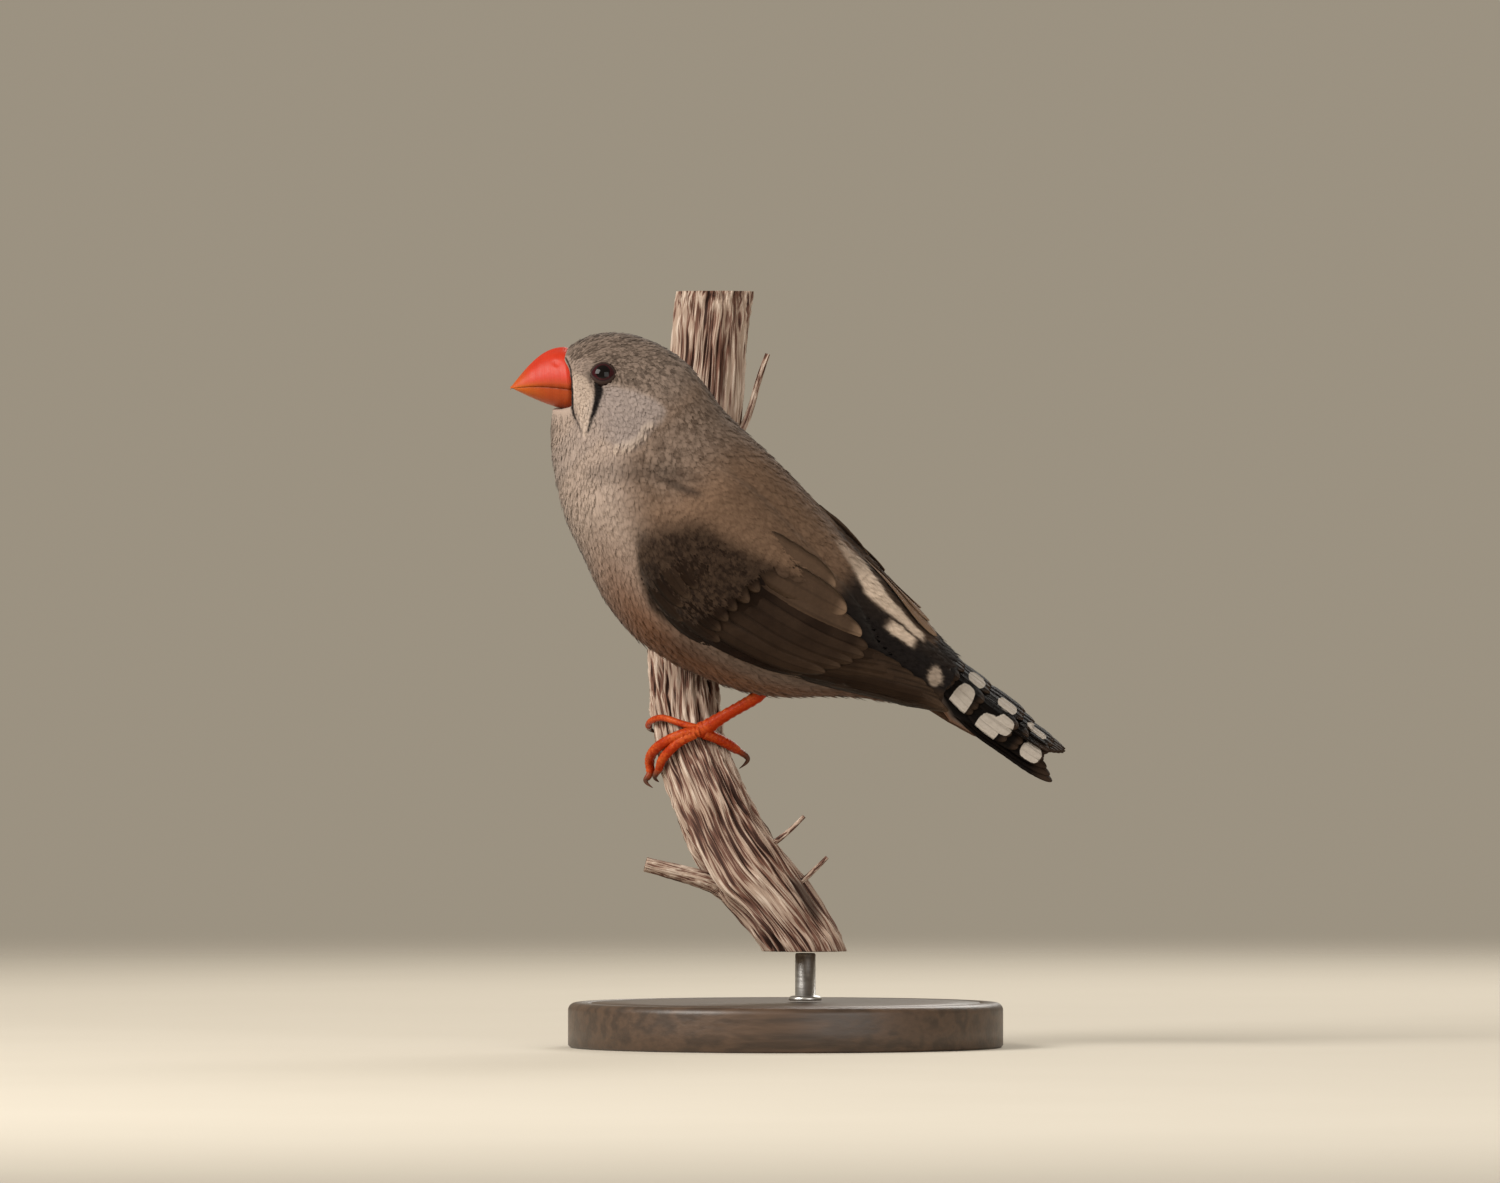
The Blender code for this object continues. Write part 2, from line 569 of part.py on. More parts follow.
def tail_core():
    """Root of the tail with the feathers below it: the body's last sections drawn out to a thin edge."""
    sides = 20
    turn = np.arange(sides) * 2 * math.pi / sides
    rings = list(np.asarray(body_loft(TORSO_END, RUMP_END, 4, sides)[0]).reshape(4, sides, 3))
    origin, direction, up, left = tail_axes()
    for run, tall, wide, drop in ((2.5, 2.7, 5.3, 1.1), (6.5, 1.8, 5.2, 1.0), (10.5, 1.0, 4.8, 0.8),
                                  (13.5, 0.4, 3.8, 0.6)):
        height = tall * np.cos(turn) - drop - np.abs(np.sin(turn)) * wide * math.tan(TAIL_DROOP)
        rings.append(origin + direction * run + np.outer(height, up) + np.outer(wide * np.sin(turn), left))
    return loft(rings)


def tail_shapes():
    """Tail feathers, their upper coverts and the core that they grow from."""
    shapes = [tail_core()]
    for sign in (1, -1):
        for i, (across, length) in enumerate(zip(TAIL_ACROSS, TAIL_LENGTHS)):
            shapes.append(tail_vane(across, -2.5, length, TAIL_WIDTH, 0.35 - TAIL_STEP * i, sign))
        for tip, inner, outer, lift in UPPER_COVERTS:
            shapes.append(tail_vane(outer, tip - COVERT_LENGTH, tip - 0.8, 4.0, lift - 0.3, sign, rows=4))
            shapes.append(tail_vane(inner, tip - COVERT_LENGTH, tip, 3.6, lift, sign, rows=4))
    return shapes


# Stem, legs and stand

def stem_frame(u):
    """Axis point, radius, upward direction, and the directions to the camera's side and to the right."""
    row = smooth(STEM, u)
    ahead = smooth(STEM, u + 0.02)[:3]
    behind = smooth(STEM, u - 0.02)[:3]
    up = unit(ahead - behind)
    near = np.array([0.0, -1.0, 0.0])
    near = unit(near - (near @ up) * up)
    return row[:3], row[3], up, near, np.cross(up, near)


STEM_READ = np.linspace(0, len(STEM) - 1, 400)
STEM_HEIGHTS = smooth(STEM, STEM_READ)[:, 2]


def stem_point(height, turn, clear):
    """Point at a height above the ground, a turn round the stem and a distance off its bark."""
    turn = math.radians(turn)
    axis_height = height
    for _ in range(4):
        centre, radius, _, near, right = stem_frame(np.interp(axis_height, STEM_HEIGHTS, STEM_READ))
        point = centre + (radius + clear) * (math.cos(turn) * near + math.sin(turn) * right)
        axis_height += height - point[2]
    return point


def stem_shapes():
    """The cut length of stem: level cuts below and above, bark knots and the stubs of its twigs."""
    stations = np.linspace(0.2, len(STEM) - 1, 27)
    turn = np.arange(STEM_SIDES) * 2 * math.pi / STEM_SIDES
    rings = []
    for u in stations:
        centre, radius, _, near, right = stem_frame(u)
        rings.append(centre + radius * (np.outer(np.cos(turn), near) + np.outer(np.sin(turn), right)))
    rings = np.array(rings)
    shapes = [loft(rings)]
    for twig in TWIGS:
        twig = np.array(twig)
        read = np.linspace(0, len(twig) - 1, 2 * len(twig) - 1)
        path = smooth(twig, read)
        shapes.append(tube(path[:, :3], path[:, 3], 8))
    return shapes


def slab(low, high):
    """Wide flat block between two heights, to cut the stem level."""
    reach = 70.0
    corners = [(x, y) for x, y in ((-reach, -reach), (reach, -reach), (reach, reach), (-reach, reach))]
    return loft([[(x, y, z) for x, y in corners] for z in (low, high)])


def leg_shapes(toes, claws, shank):
    """One leg: shank, the pad of the foot, four toes and their claws."""
    (station, angle), (height, turn, clear) = shank
    root = body_point(station, math.radians(angle))
    inward = root - 3.0 * body_normal(station, math.radians(angle))
    pad = stem_point(height, turn, GAP + clear)
    path = np.array([inward, root, root * 0.5 + pad * 0.5, root * 0.12 + pad * 0.88, pad])
    radii = SHANK_RADIUS * np.array([1.1, 1.05, 0.95, 1.2, 1.15])
    shapes = [tube(path, radii, 10), ball(pad, (1.15, 1.15, 1.1), rows=7, sides=10)]
    for toe, claw in zip(toes, claws):
        rows = [(h, a, c + r + 1.3 * GAP, r) for h, a, c, r in toe]
        ends = [(h, a, c + r + 1.3 * GAP, r) for (h, a, c), r in zip(claw, (CLAW_ROOT, CLAW_TIP))]
        knots = np.array([[*stem_point(h, a, c), r] for h, a, c, r in rows + ends])
        read = np.linspace(0, len(knots) - 1, 2 * len(knots) - 1)
        curve = smooth(knots, read)
        shapes.append(tube(curve[:, :3], np.maximum(curve[:, 3], CLAW_TIP), 8))
    return shapes


def disc_stand():
    """Round flat base with a bevelled upper edge."""
    turn = np.arange(64) * 2 * math.pi / 64
    circle = np.stack([np.cos(turn), np.sin(turn)], 1)
    rings = []
    for radius, height in ((BASE_RADIUS - 0.4, 0.0), (BASE_RADIUS, 0.4), (BASE_RADIUS, BASE_HEIGHT - BASE_BEVEL),
                           (BASE_RADIUS - 0.35 * BASE_BEVEL, BASE_HEIGHT - 0.35 * BASE_BEVEL),
                           (BASE_RADIUS - BASE_BEVEL, BASE_HEIGHT)):
        rings.append(np.column_stack([circle * radius, np.full(64, height)]))
    return loft(rings)


def rod():
    """Short upright rod from the base to the stem's lower cut."""
    axis = smooth(STEM, np.interp(STEM_CUT, STEM_HEIGHTS, STEM_READ))
    turn = np.arange(20) * 2 * math.pi / 20
    rings = []
    for height in (BASE_HEIGHT + GAP, STEM_CUT - GAP):
        ring = np.column_stack([axis[0] + ROD_RADIUS * np.cos(turn), axis[1] + ROD_RADIUS * np.sin(turn),
                                np.full(20, height)])
        rings.append(ring)
    return loft(rings)


# Build

def clear_scene():
    """Removes whatever the file holds."""
    for old in list(bpy.data.objects):
        bpy.data.objects.remove(old)


def eye_axes(side):
    """Middle of the eye and its directions: forward, up and out of the head."""
    angle = side * EYE_ANGLE
    surface = body_point(EYE_STATION, angle)
    out = body_normal(EYE_STATION, angle)
    forward = unit(np.cross(out, (0, 0, 1)))
    return surface - EYE_DEPTH * out, np.array([forward, np.cross(out, forward), out])


def lid_ring(centre, axes):
    """Closed ring of bare skin round the eye."""
    turn = np.arange(14) * 2 * math.pi / 14
    spin = np.arange(6) * 2 * math.pi / 6
    rings = []
    for a in turn:
        outward = math.cos(a) * axes[0] * 2.25 + math.sin(a) * axes[1] * 2.0
        middle = centre + outward + axes[2] * 1.15
        rings.append(middle + 0.5 * (np.outer(np.cos(spin), unit(outward)) + np.outer(np.sin(spin), axes[2])))
    points, faces = loft(rings, closed_ends=False)
    last = (len(turn) - 1) * 6
    faces += [(last + j, last + (j + 1) % 6, (j + 1) % 6, j) for j in range(6)]
    return points, faces


def main():
    clear_scene()
    eyes = {"left": eye_axes(1), "right": eye_axes(-1)}
    lids = [lid_ring(*place) for place in eyes.values()]
    sockets = [ball(centre, np.full(3, EYE_RADIUS + GAP), axes, 8, 14) for centre, axes in eyes.values()]
    bill_room = [bill_half(True, 1.6 * GAP), bill_half(False, 1.6 * GAP)]
    node("head", [body_loft(0.0, HEAD_END, 15, BODY_SIDES)] + lids, GREY, sockets + bill_room)
    node("neck", [body_loft(HEAD_END, NECK_END, 6, BODY_SIDES)], GREY)
    node("torso", [body_loft(NECK_END, TORSO_END, 18, BODY_SIDES)], PALE)
    for name, (centre, axes) in eyes.items():
        node("eye_" + name, [ball(centre, np.full(3, EYE_RADIUS), axes, 8, 14)], EYE)
    node("bill_upper", [bill_half(True)], ORANGE, [nostril(1), nostril(-1)])
    node("bill_lower", [bill_half(False)], ORANGE)
    node("wing_left", wing_shapes(1), BROWN)
    node("wing_right", wing_shapes(-1), BROWN)
    node("tail", tail_shapes(), BLACK)
    skin = body_loft(NECK_END, TORSO_END, 18, BODY_SIDES, lift=GAP + 0.08)
    node("leg_left", leg_shapes(TOES_LEFT, CLAWS_LEFT, SHANK_LEFT), LEG, [skin])
    node("leg_right", leg_shapes(TOES_RIGHT, CLAWS_RIGHT, SHANK_RIGHT), LEG, [skin])
    node("perch_stem", stem_shapes(), BARK, [slab(-20, STEM_CUT), slab(STEM_TOP, 140)])
    node("stand_rod", [rod()], METAL)
    node("stand_base", [disc_stand()], STAND)


main()
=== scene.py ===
# %% [markdown]
# # A zebra finch on its perch
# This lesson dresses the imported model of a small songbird, an adult hen that grips a steep dry stem on
# a plain display stand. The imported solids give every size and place. Each step below makes one finer
# piece around them: skin, small feathers, wings, tail, bill, eyes, legs, bark and stand.

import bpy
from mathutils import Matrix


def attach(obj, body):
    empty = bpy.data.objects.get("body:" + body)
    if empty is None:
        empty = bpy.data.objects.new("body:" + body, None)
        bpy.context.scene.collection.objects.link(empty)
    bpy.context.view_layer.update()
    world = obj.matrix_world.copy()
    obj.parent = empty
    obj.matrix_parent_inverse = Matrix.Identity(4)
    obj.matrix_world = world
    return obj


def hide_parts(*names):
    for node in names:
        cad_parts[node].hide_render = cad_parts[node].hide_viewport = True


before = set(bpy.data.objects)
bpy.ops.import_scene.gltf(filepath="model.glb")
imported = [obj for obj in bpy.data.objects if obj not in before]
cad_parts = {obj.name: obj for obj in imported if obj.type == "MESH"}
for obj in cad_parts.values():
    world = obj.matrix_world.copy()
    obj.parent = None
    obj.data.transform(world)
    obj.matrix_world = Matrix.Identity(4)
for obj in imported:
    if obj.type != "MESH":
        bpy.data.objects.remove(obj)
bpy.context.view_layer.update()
print("nodes in the frame:", ", ".join(sorted(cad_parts)))

# %% [markdown]
# All shapes are worked out in millimetres with numpy and turned to metres when they become a mesh. A
# natural cubic curve runs through every short table of sizes, so a handful of stations gives a smooth
# body, stem or toe.

# %% Numbers and curves
import math

import bpy
import numpy as np

MM = 0.001
DATUM = np.array([-13.6, -6.0, 79.7])    # shoulder point that the body's stations are measured from
TAU = 2 * math.pi


def smooth(values, at):
    """Natural cubic curve through values at 0, 1, 2 and so on, read at the numbers in at."""
    values = np.asarray(values, float)
    count = len(values)
    at = np.clip(np.asarray(at, float), 0, count - 1)
    system = np.eye(count)
    inner = np.arange(1, count - 1)
    system[inner, inner - 1] = 1
    system[inner, inner] = 4
    system[inner, inner + 1] = 1
    right = np.zeros_like(values)
    right[1:-1] = 6 * (values[:-2] - 2 * values[1:-1] + values[2:])
    bend = np.linalg.solve(system, right)
    cell = np.minimum(at.astype(int), count - 2)
    f = (at - cell).reshape(at.shape + (1,) * (values.ndim - 1))
    straight = values[cell] * (1 - f) + values[cell + 1] * f
    return straight + (((1 - f) ** 3 - (1 - f)) * bend[cell] + (f ** 3 - f) * bend[cell + 1]) / 6


def unit(vectors):
    """Vectors divided by their own length."""
    vectors = np.asarray(vectors, float)
    return vectors / np.maximum(np.linalg.norm(vectors, axis=-1, keepdims=True), 1e-12)


def step_up(value, low, high):
    """0 below low, 1 above high, and 3f squared minus 2f cubed between."""
    f = np.clip((np.asarray(value, float) - low) / (high - low), 0, 1)
    return f * f * (3 - 2 * f)


def lattice(x, y, cells_x, seed):
    """Smooth noise from 0 to 1: random values on a lattice that wraps every cells_x, blended between."""
    table = np.random.default_rng(seed).random((cells_x, 257))
    x0, y0 = np.floor(x).astype(int), np.floor(y).astype(int)
    fx, fy = step_up(x - x0, 0, 1), step_up(y - y0, 0, 1)
    a, b = table[x0 % cells_x, y0 % 257], table[(x0 + 1) % cells_x, y0 % 257]
    c, d = table[x0 % cells_x, (y0 + 1) % 257], table[(x0 + 1) % cells_x, (y0 + 1) % 257]
    return (a * (1 - fx) + b * fx) * (1 - fy) + (c * (1 - fx) + d * fx) * fy


print("a curve through 0, 1, 4 reads", float(smooth([0, 1, 4], 1.5)), "at 1.5")

# %% [markdown]
# A shape is kept as a small dictionary: its points, its faces as rows of four point numbers (a triangle
# has -1 in the last place), a map place for every face corner, and named numbers per point that the
# materials read. One function turns it into a Blender mesh with foreach_set, which is much faster than
# adding points one by one.

# %% Shapes and pieces


def grid_faces(rows, sides):
    """Faces between the rows of a grid of points, closed round the side."""
    index = np.arange(rows * sides).reshape(rows, sides)
    following = np.roll(index, -1, 1)
    return np.stack([index[:-1], following[:-1], following[1:], index[1:]], -1).reshape(-1, 4)


def grid_map(rows, sides):
    """Map places of the faces of a closed grid: along by row and round by side, with no wrap."""
    row, side = np.meshgrid(np.arange(rows - 1), np.arange(sides), indexing="ij")
    corners = [(row, side), (row, side + 1), (row + 1, side + 1), (row + 1, side)]
    return np.stack([np.stack([r / (rows - 1), s / sides], -1) for r, s in corners], 2).reshape(-1, 4, 2)


def fan(ring, centre):
    """Triangles from a ring of point numbers to one centre point."""
    ring = np.asarray(ring)
    return np.stack([ring, np.roll(ring, -1), np.full(len(ring), centre), np.full(len(ring), -1)], 1)


def outwards(shape):
    """The shape with its faces turned so that the volume they enclose is positive."""
    points, faces = shape["points"], shape["faces"]
    corner = np.where(faces < 0, faces[:, :1], faces)
    a, b, c, d = (points[corner[:, i]] for i in range(4))
    volume = (a * np.cross(b, c)).sum() + (a * np.cross(c, d)).sum()
    if volume < 0:
        three = faces[:, 3] < 0
        flipped = faces[:, ::-1].copy()
        flipped[three] = faces[three][:, [2, 1, 0, 3]]
        shape["faces"] = flipped
        for name, places in shape.get("maps", {}).items():
            turned = places[:, ::-1].copy()
            turned[three] = places[three][:, [2, 1, 0, 3]]
            shape["maps"][name] = turned
    return shape


def tube_shape(rings, fields):
    """Closed skin over rings of points, with a point in the middle of each end ring."""
    rings = np.asarray(rings, float)
    rows, sides = rings.shape[:2]
    points = rings.reshape(-1, 3)
    faces, maps = [grid_faces(rows, sides)], [grid_map(rows, sides)]
    fields = {n: np.asarray(v, float).reshape(rows * sides, -1) for n, v in fields.items()}
    for row in (0, rows - 1):
        ring = np.arange(row * sides, (row + 1) * sides)
        cap = fan(ring[::-1] if row == 0 else ring, len(points))
        points = np.concatenate([points, rings[row].mean(0, keepdims=True)])
        fields = {n: np.concatenate([v, v[ring].mean(0, keepdims=True)]) for n, v in fields.items()}
        faces.append(cap)
        maps.append(np.full((len(cap), 4, 2), float(row > 0)))
    maps = {"UVMap": np.concatenate(maps)}
    return outwards({"points": points, "faces": np.concatenate(faces), "maps": maps, "fields": fields})


def joined(shapes):
    """One shape from several, each one's faces counted on from the points before it."""
    start, faces = 0, []
    for shape in shapes:
        faces.append(np.where(shape["faces"] < 0, -1, shape["faces"] + start))
        start += len(shape["points"])
    own = {"normals": np.concatenate([s["normals"] for s in shapes])} if "normals" in shapes[0] else {}
    return {
        **own,
        "points": np.concatenate([s["points"] for s in shapes]),
        "faces": np.concatenate(faces),
        "maps": {n: np.concatenate([s["maps"][n] for s in shapes]) for n in shapes[0]["maps"]},
        "fields": {n: np.concatenate([s["fields"][n] for s in shapes]) for n in shapes[0]["fields"]},
    }


def make_piece(name, shape, finish, stands_for=()):
    """Mesh object at the origin that rides on the model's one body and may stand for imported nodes."""
    faces = shape["faces"]
    kept = faces.ravel() >= 0
    corners = faces.ravel()[kept]
    sizes = (faces >= 0).sum(1)
    mesh = bpy.data.meshes.new(name)
    mesh.vertices.add(len(shape["points"]))
    mesh.vertices.foreach_set("co", (shape["points"] * MM).astype(np.float32).ravel())
    mesh.loops.add(len(corners))
    mesh.loops.foreach_set("vertex_index", corners.astype(np.int32))
    mesh.polygons.add(len(faces))
    mesh.polygons.foreach_set("loop_start", np.concatenate([[0], np.cumsum(sizes)[:-1]]).astype(np.int32))
    mesh.update(calc_edges=True)
    for title, places in shape.get("maps", {}).items():
        layer = mesh.uv_layers.new(name=title)
        layer.data.foreach_set("uv", places.reshape(-1, 2)[kept].astype(np.float32).ravel())
    for title, values in shape.get("fields", {}).items():
        values = np.asarray(values, float).reshape(len(shape["points"]), -1)
        kind, key = ("FLOAT", "value") if values.shape[1] == 1 else ("FLOAT_VECTOR", "vector")
        mesh.attributes.new(title, kind, "POINT").data.foreach_set(key, values.astype(np.float32).ravel())
    mesh.shade_smooth()
    if "normals" in shape:
        mesh.normals_split_custom_set_from_vertices(shape["normals"].astype(np.float32))
    mesh.materials.append(finish)
    made = bpy.data.objects.new(name, mesh)
    bpy.context.scene.collection.objects.link(made)
    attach(made, "root")
    if stands_for:
        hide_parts(*stands_for)
    print(f"{name}: {int((sizes - 2).sum())} triangles")
    return made


# %% [markdown]
# Materials are written as sums. A Wire holds one output of a node, and adding or multiplying wires adds
# the Math nodes, so a pattern reads like its formula. Colours go through the Mix node instead, because a
# Math node would turn them grey.

# %% Shader sums


class Wire:
    """One output socket that can stand in an expression."""

    def __init__(self, finish, socket):
        self.finish, self.socket = finish, socket

    def math(self, operation, other=None, flipped=False):
        """This value and another through one Math node."""
        pair = [self] if other is None else [self, other]
        pair = pair[::-1] if flipped else pair
        return self.finish.node("Math", {"operation": operation}, dict(enumerate(pair)))

    def __add__(self, other):
        return self.math("ADD", other)

    def __sub__(self, other):
        return self.math("SUBTRACT", other)

    def __rsub__(self, other):
        return self.math("SUBTRACT", other, True)

    def __mul__(self, other):
        return self.math("MULTIPLY", other)

    def __truediv__(self, other):
        return self.math("DIVIDE", other)

    __radd__ = __add__
    __rmul__ = __mul__

    def rise(self, low, high):
        """0 at low and 1 at high, eased between."""
        settings = {"interpolation_type": "SMOOTHSTEP"}
        return self.finish.node("MapRange", settings, {"Value": self, "From Min": low, "From Max": high})


class Finish:
    """A material built round one Principled shader."""

    def __init__(self, name, **constants):
        self.material = bpy.data.materials.new(name)
        self.material.use_nodes = True
        self.tree = self.material.node_tree
        self.shader = self.tree.nodes["Principled BSDF"]
        for title, value in constants.items():
            self.shader.inputs[title.replace("_", " ")].default_value = value

    def node(self, kind, settings=None, sockets=None, output=0):
        """Any node: its settings first, then its sockets' values or links."""
        made = self.tree.nodes.new("ShaderNode" + kind)
        for key, value in (settings or {}).items():
            setattr(made, key, value)
        for key, value in (sockets or {}).items():
            if isinstance(value, Wire):
                self.tree.links.new(value.socket, made.inputs[key])
            else:
                made.inputs[key].default_value = value
        return Wire(self, made.outputs[output])

    def place(self):
        """Object coordinates, in metres."""
        return self.node("TexCoord", output=3)

    def kept(self, name, part=None):
        """A number stored on the mesh, or one part (0, 1, 2) of three stored together."""
        if part is None:
            return self.node("Attribute", {"attribute_name": name}, output=2)
        vector = self.node("Attribute", {"attribute_name": name}, output=1)
        return self.node("SeparateXYZ", {}, {0: vector}, output=part)

    def noise(self, per_mm, detail=3.0, stretch=(1, 1, 1), vector=None):
        """Soft noise with so many features per millimetre along each axis."""
        source = self.place() if vector is None else vector
        scale = tuple(per_mm / MM * s for s in stretch)
        moved = self.node("Mapping", {}, {"Vector": source, "Scale": scale})
        return self.node("TexNoise", {}, {"Vector": moved, "Scale": 1.0, "Detail": detail})

    def mix(self, amount, first, second):
        """A colour between two, by an amount from 0 to 1."""
        first = first if isinstance(first, Wire) else (*first, 1.0)
        second = second if isinstance(second, Wire) else (*second, 1.0)
        return self.node("Mix", {"data_type": "RGBA"}, {0: amount, 6: first, 7: second}, output=2)

    def shade(self, colour, amount):
        """A colour made lighter or darker by a number."""
        grey = self.node("CombineColor", {}, {0: amount, 1: amount, 2: amount})
        settings = {"data_type": "RGBA", "blend_type": "MULTIPLY"}
        return self.node("Mix", settings, {0: 1.0, 6: colour, 7: grey}, output=2)

    def feed(self, **links):
        """Links wires to the shader's own sockets."""
        for title, wire in links.items():
            self.tree.links.new(wire.socket, self.shader.inputs[title.replace("_", " ")])

    def bump(self, height, depth_mm):
        """Small relief from a height of 0 to 1."""
        normal = self.node("Bump", {}, {"Strength": 1.0, "Distance": depth_mm * MM, "Height": height})
        self.feed(Normal=normal)


print("shader helpers are ready")

# %% [markdown]
# The body is one surface read from fifteen cross-sections between the bill and the tail. A place on it
# is a station and an angle from the middle of the back, counted towards the bird's left. Skin, small
# feathers and wings are all placed by station and angle, so they follow the body on every side.

# %% The body's surface
STATIONS = np.array([
    # back x and z, belly x and z, half width, fullness below, roll towards the bird's left in degrees
    [-20.8, 29.1, -22.9, 19.8, 3.9, -0.25, 4],
    [-16.9, 31.3, -22.9, 18.3, 6.5, 0.00, 4],
    [-11.6, 31.7, -22.9, 14.6, 7.6, 0.12, 4],
    [-6.2, 30.0, -22.6, 11.1, 8.8, 0.18, 6],
    [-1.2, 26.5, -21.7, 6.6, 10.9, 0.15, 10],
    [3.4, 20.6, -20.3, 1.8, 13.0, 0.08, 15],
    [8.8, 15.2, -17.9, -3.4, 14.4, 0.02, 19],
    [14.6, 9.7, -14.9, -9.9, 14.9, 0.00, 21],
    [20.0, 3.5, -9.1, -16.8, 14.6, 0.00, 23],
    [24.9, -1.8, 0.0, -21.9, 13.4, 0.00, 26],
    [29.3, -6.6, 10.5, -25.1, 11.3, -0.05, 29],
    [32.8, -10.8, 22.3, -24.9, 9.0, -0.10, 31],
    [36.0, -14.5, 31.6, -25.8, 7.2, -0.10, 32],
    [39.3, -18.0, 37.3, -26.5, 6.0, 0.00, 32],
    [42.6, -20.9, 41.6, -28.9, 5.6, 0.00, 32],
])
LAST_STATION = len(STATIONS) - 1


def section(t):
    """Middle, up and left vectors, half height, half width and fullness of the section at station t."""
    row = smooth(STATIONS, t)
    back, belly = row[..., 0:2], row[..., 2:4]
    middle, rise = (back + belly) / 2, (back - belly) / 2
    half_height = np.linalg.norm(rise, axis=-1, keepdims=True)
    zero = np.zeros_like(half_height)
    centre = np.concatenate([middle[..., :1], zero, middle[..., 1:]], -1) + DATUM
    flat_up = np.concatenate([rise[..., :1], zero, rise[..., 1:]], -1) / half_height
    near = np.array([0.0, -1.0, 0.0])
    roll = np.radians(row[..., 6:7])
    up = np.cos(roll) * flat_up + np.sin(roll) * near
    left = np.cos(roll) * near - np.sin(roll) * flat_up
    return centre, up, left, half_height, row[..., 4:5], row[..., 5:6]


def body_point(t, angle):
    """Plumage surface: an ellipse round the section's middle, made fuller on its lower side."""
    centre, up, left, half_height, half_width, fullness = section(t)
    angle = np.asarray(angle, float)[..., None]
    wide = half_width * np.sin(angle) * (1 - fullness * np.cos(angle))
    return centre + half_height * np.cos(angle) * up + wide * left


def body_frame(t, angle):
    """Point, outward normal, and the slopes of the surface per station and per radian."""
    t, angle = np.broadcast_arrays(np.asarray(t, float), np.asarray(angle, float))
    step = 0.02
    low, high = np.maximum(t - step, 0), np.minimum(t + step, LAST_STATION)
    along = (body_point(high, angle) - body_point(low, angle)) / (high - low)[..., None]
    around = (body_point(t, angle + step) - body_point(t, angle - step)) / (2 * step)
    return body_point(t, angle), unit(np.cross(around, along)), along, around


def body_offset(t, angle, lift):
    """Point a distance lift off the plumage surface along its normal."""
    point, normal = body_frame(t, angle)[:2]
    return point + np.asarray(lift, float)[..., None] * normal


print("the widest section is", STATIONS[:, 4].max() * 2, "mm across")

# %% [markdown]
# The folded wing makes a low swelling on each flank. Its edges are angles round the body at stations 6
# to 13, and its height rises quickly behind the bend of the wing and thins out to the tips. Small
# feathers add this height to their own, so those that reach the wing drape over its edge.

# %% The wing's swelling
WING_START, WING_END = 6.0, 13.0
WING_UPPER = (45, 38, 34, 34, 38, 57, 77, 97)
WING_LOWER = (99, 108, 111, 103, 98, 108, 112, 102)
WING_HEIGHT = 2.15


def wing_edges(t):
    """Upper and lower edge angles of the folded wing, in radians."""
    place = np.clip(t, WING_START, WING_END) - WING_START
    return np.radians(smooth(WING_UPPER, place)), np.radians(smooth(WING_LOWER, place))


def wing_swelling(t, angle):
    """Height of the wing over the body: a rounded rise across it, steep in front and long behind."""
    upper, lower = wing_edges(t)
    across = (np.abs(angle) - upper + 0.14) / (lower - upper + 0.16)
    soft = 0.05                            # keeps the slope finite at the very edge
    crown = (np.clip(4 * across * (1 - across), 0, 1) + soft) ** 0.55 - soft ** 0.55
    crown = crown / ((1 + soft) ** 0.55 - soft ** 0.55)
    bend = 0.40 * np.clip(across, 0, 1) ** 2
    front = step_up(t, WING_START - 0.25 + bend, WING_START + 0.75 + bend)
    return WING_HEIGHT * crown * front * (1 - 0.55 * step_up(t, 8.5, 12.8))


print("wing height at station 8, 70 degrees:", round(float(wing_swelling(8.0, math.radians(70))), 2))

# %% [markdown]
# Markings are areas and lines on the body's surface. A line, such as the black tear streak under the
# eye, is a short list of places with a half width in millimetres. An area is the product of a few soft
# steps. The skin and every feather read the same functions.

# %% Markings
BILL_EDGE = ((0, 35, 52.5, 81.5, 97, 107.5, 112.5, 118, 123, 130, 138, 150, 158, 180),
             (-0.05, 0.02, 0.2, 0.6, 1.12, 1.52, 1.85, 1.72, 1.56, 1.32, 1.06, 0.60, 0.34, 0.10))
BILL_LINE = np.array([[0.10, 40.0, 0.10], [0.26, 52.5, 0.16], [0.66, 81.5, 0.24], [0.92, 90.0, 0.30],
                      [1.16, 97.0, 0.32], [1.56, 107.0, 0.30], [1.90, 112.0, 0.24], [2.28, 113.2, 0.15],
                      [2.78, 113.0, 0.10], [3.05, 112.0, 0.02]])
TEAR = np.array([[2.30, 79.5, 0.62], [2.46, 82.5, 0.66], [2.66, 89.0, 0.50], [2.83, 95.5, 0.42],
                 [2.99, 101.5, 0.30], [3.16, 107.0, 0.16], [3.22, 110.0, 0.04]])
WHITE_BAND = np.array([[0.95, 79.0, 0.20], [1.25, 85.5, 0.80], [1.55, 91.5, 1.75], [2.08, 97.5, 1.75],
                       [2.53, 102.5, 1.30], [2.92, 107.5, 0.85], [3.20, 111.0, 0.30]])
SMUDGE = np.array([[1.70, 75.0, 0.30], [1.98, 80.0, 0.40]])
# Painted shadow: a short dark line in the cleft between the breast feathers and the scapulars.
CREVICE_SHADOW = np.array([[5.62, 69.5, 0.15], [5.85, 66.0, 0.40], [6.15, 61.5, 0.42], [6.32, 59.0, 0.15]])
# Painted shade: a soft dark band that runs from the throat across to the shoulder.
CREASE_SHADE = np.array([[4.30, 113.0, 0.10], [4.42, 107.0, 0.50], [4.75, 94.0, 0.60], [5.05, 81.5, 0.70],
                   [5.55, 66.0, 0.60], [6.00, 55.0, 0.20]])
CROWN_EDGE = ((0.0, 0.15, 0.7, 1.35, 1.6, 2.0, 2.4, 2.55, 2.82, 3.12, 3.55, 4.0, 4.35, 5.0),
              (34, 37, 60, 60, 63, 70, 76, 74.5, 70.5, 66.5, 60, 53, 49, 46))
CHEEK_REAR = ((45, 51, 57, 63.5, 72.5, 83.5, 91.5, 100), (4.3, 4.4, 4.5, 4.48, 4.58, 4.5, 4.18, 3.7))
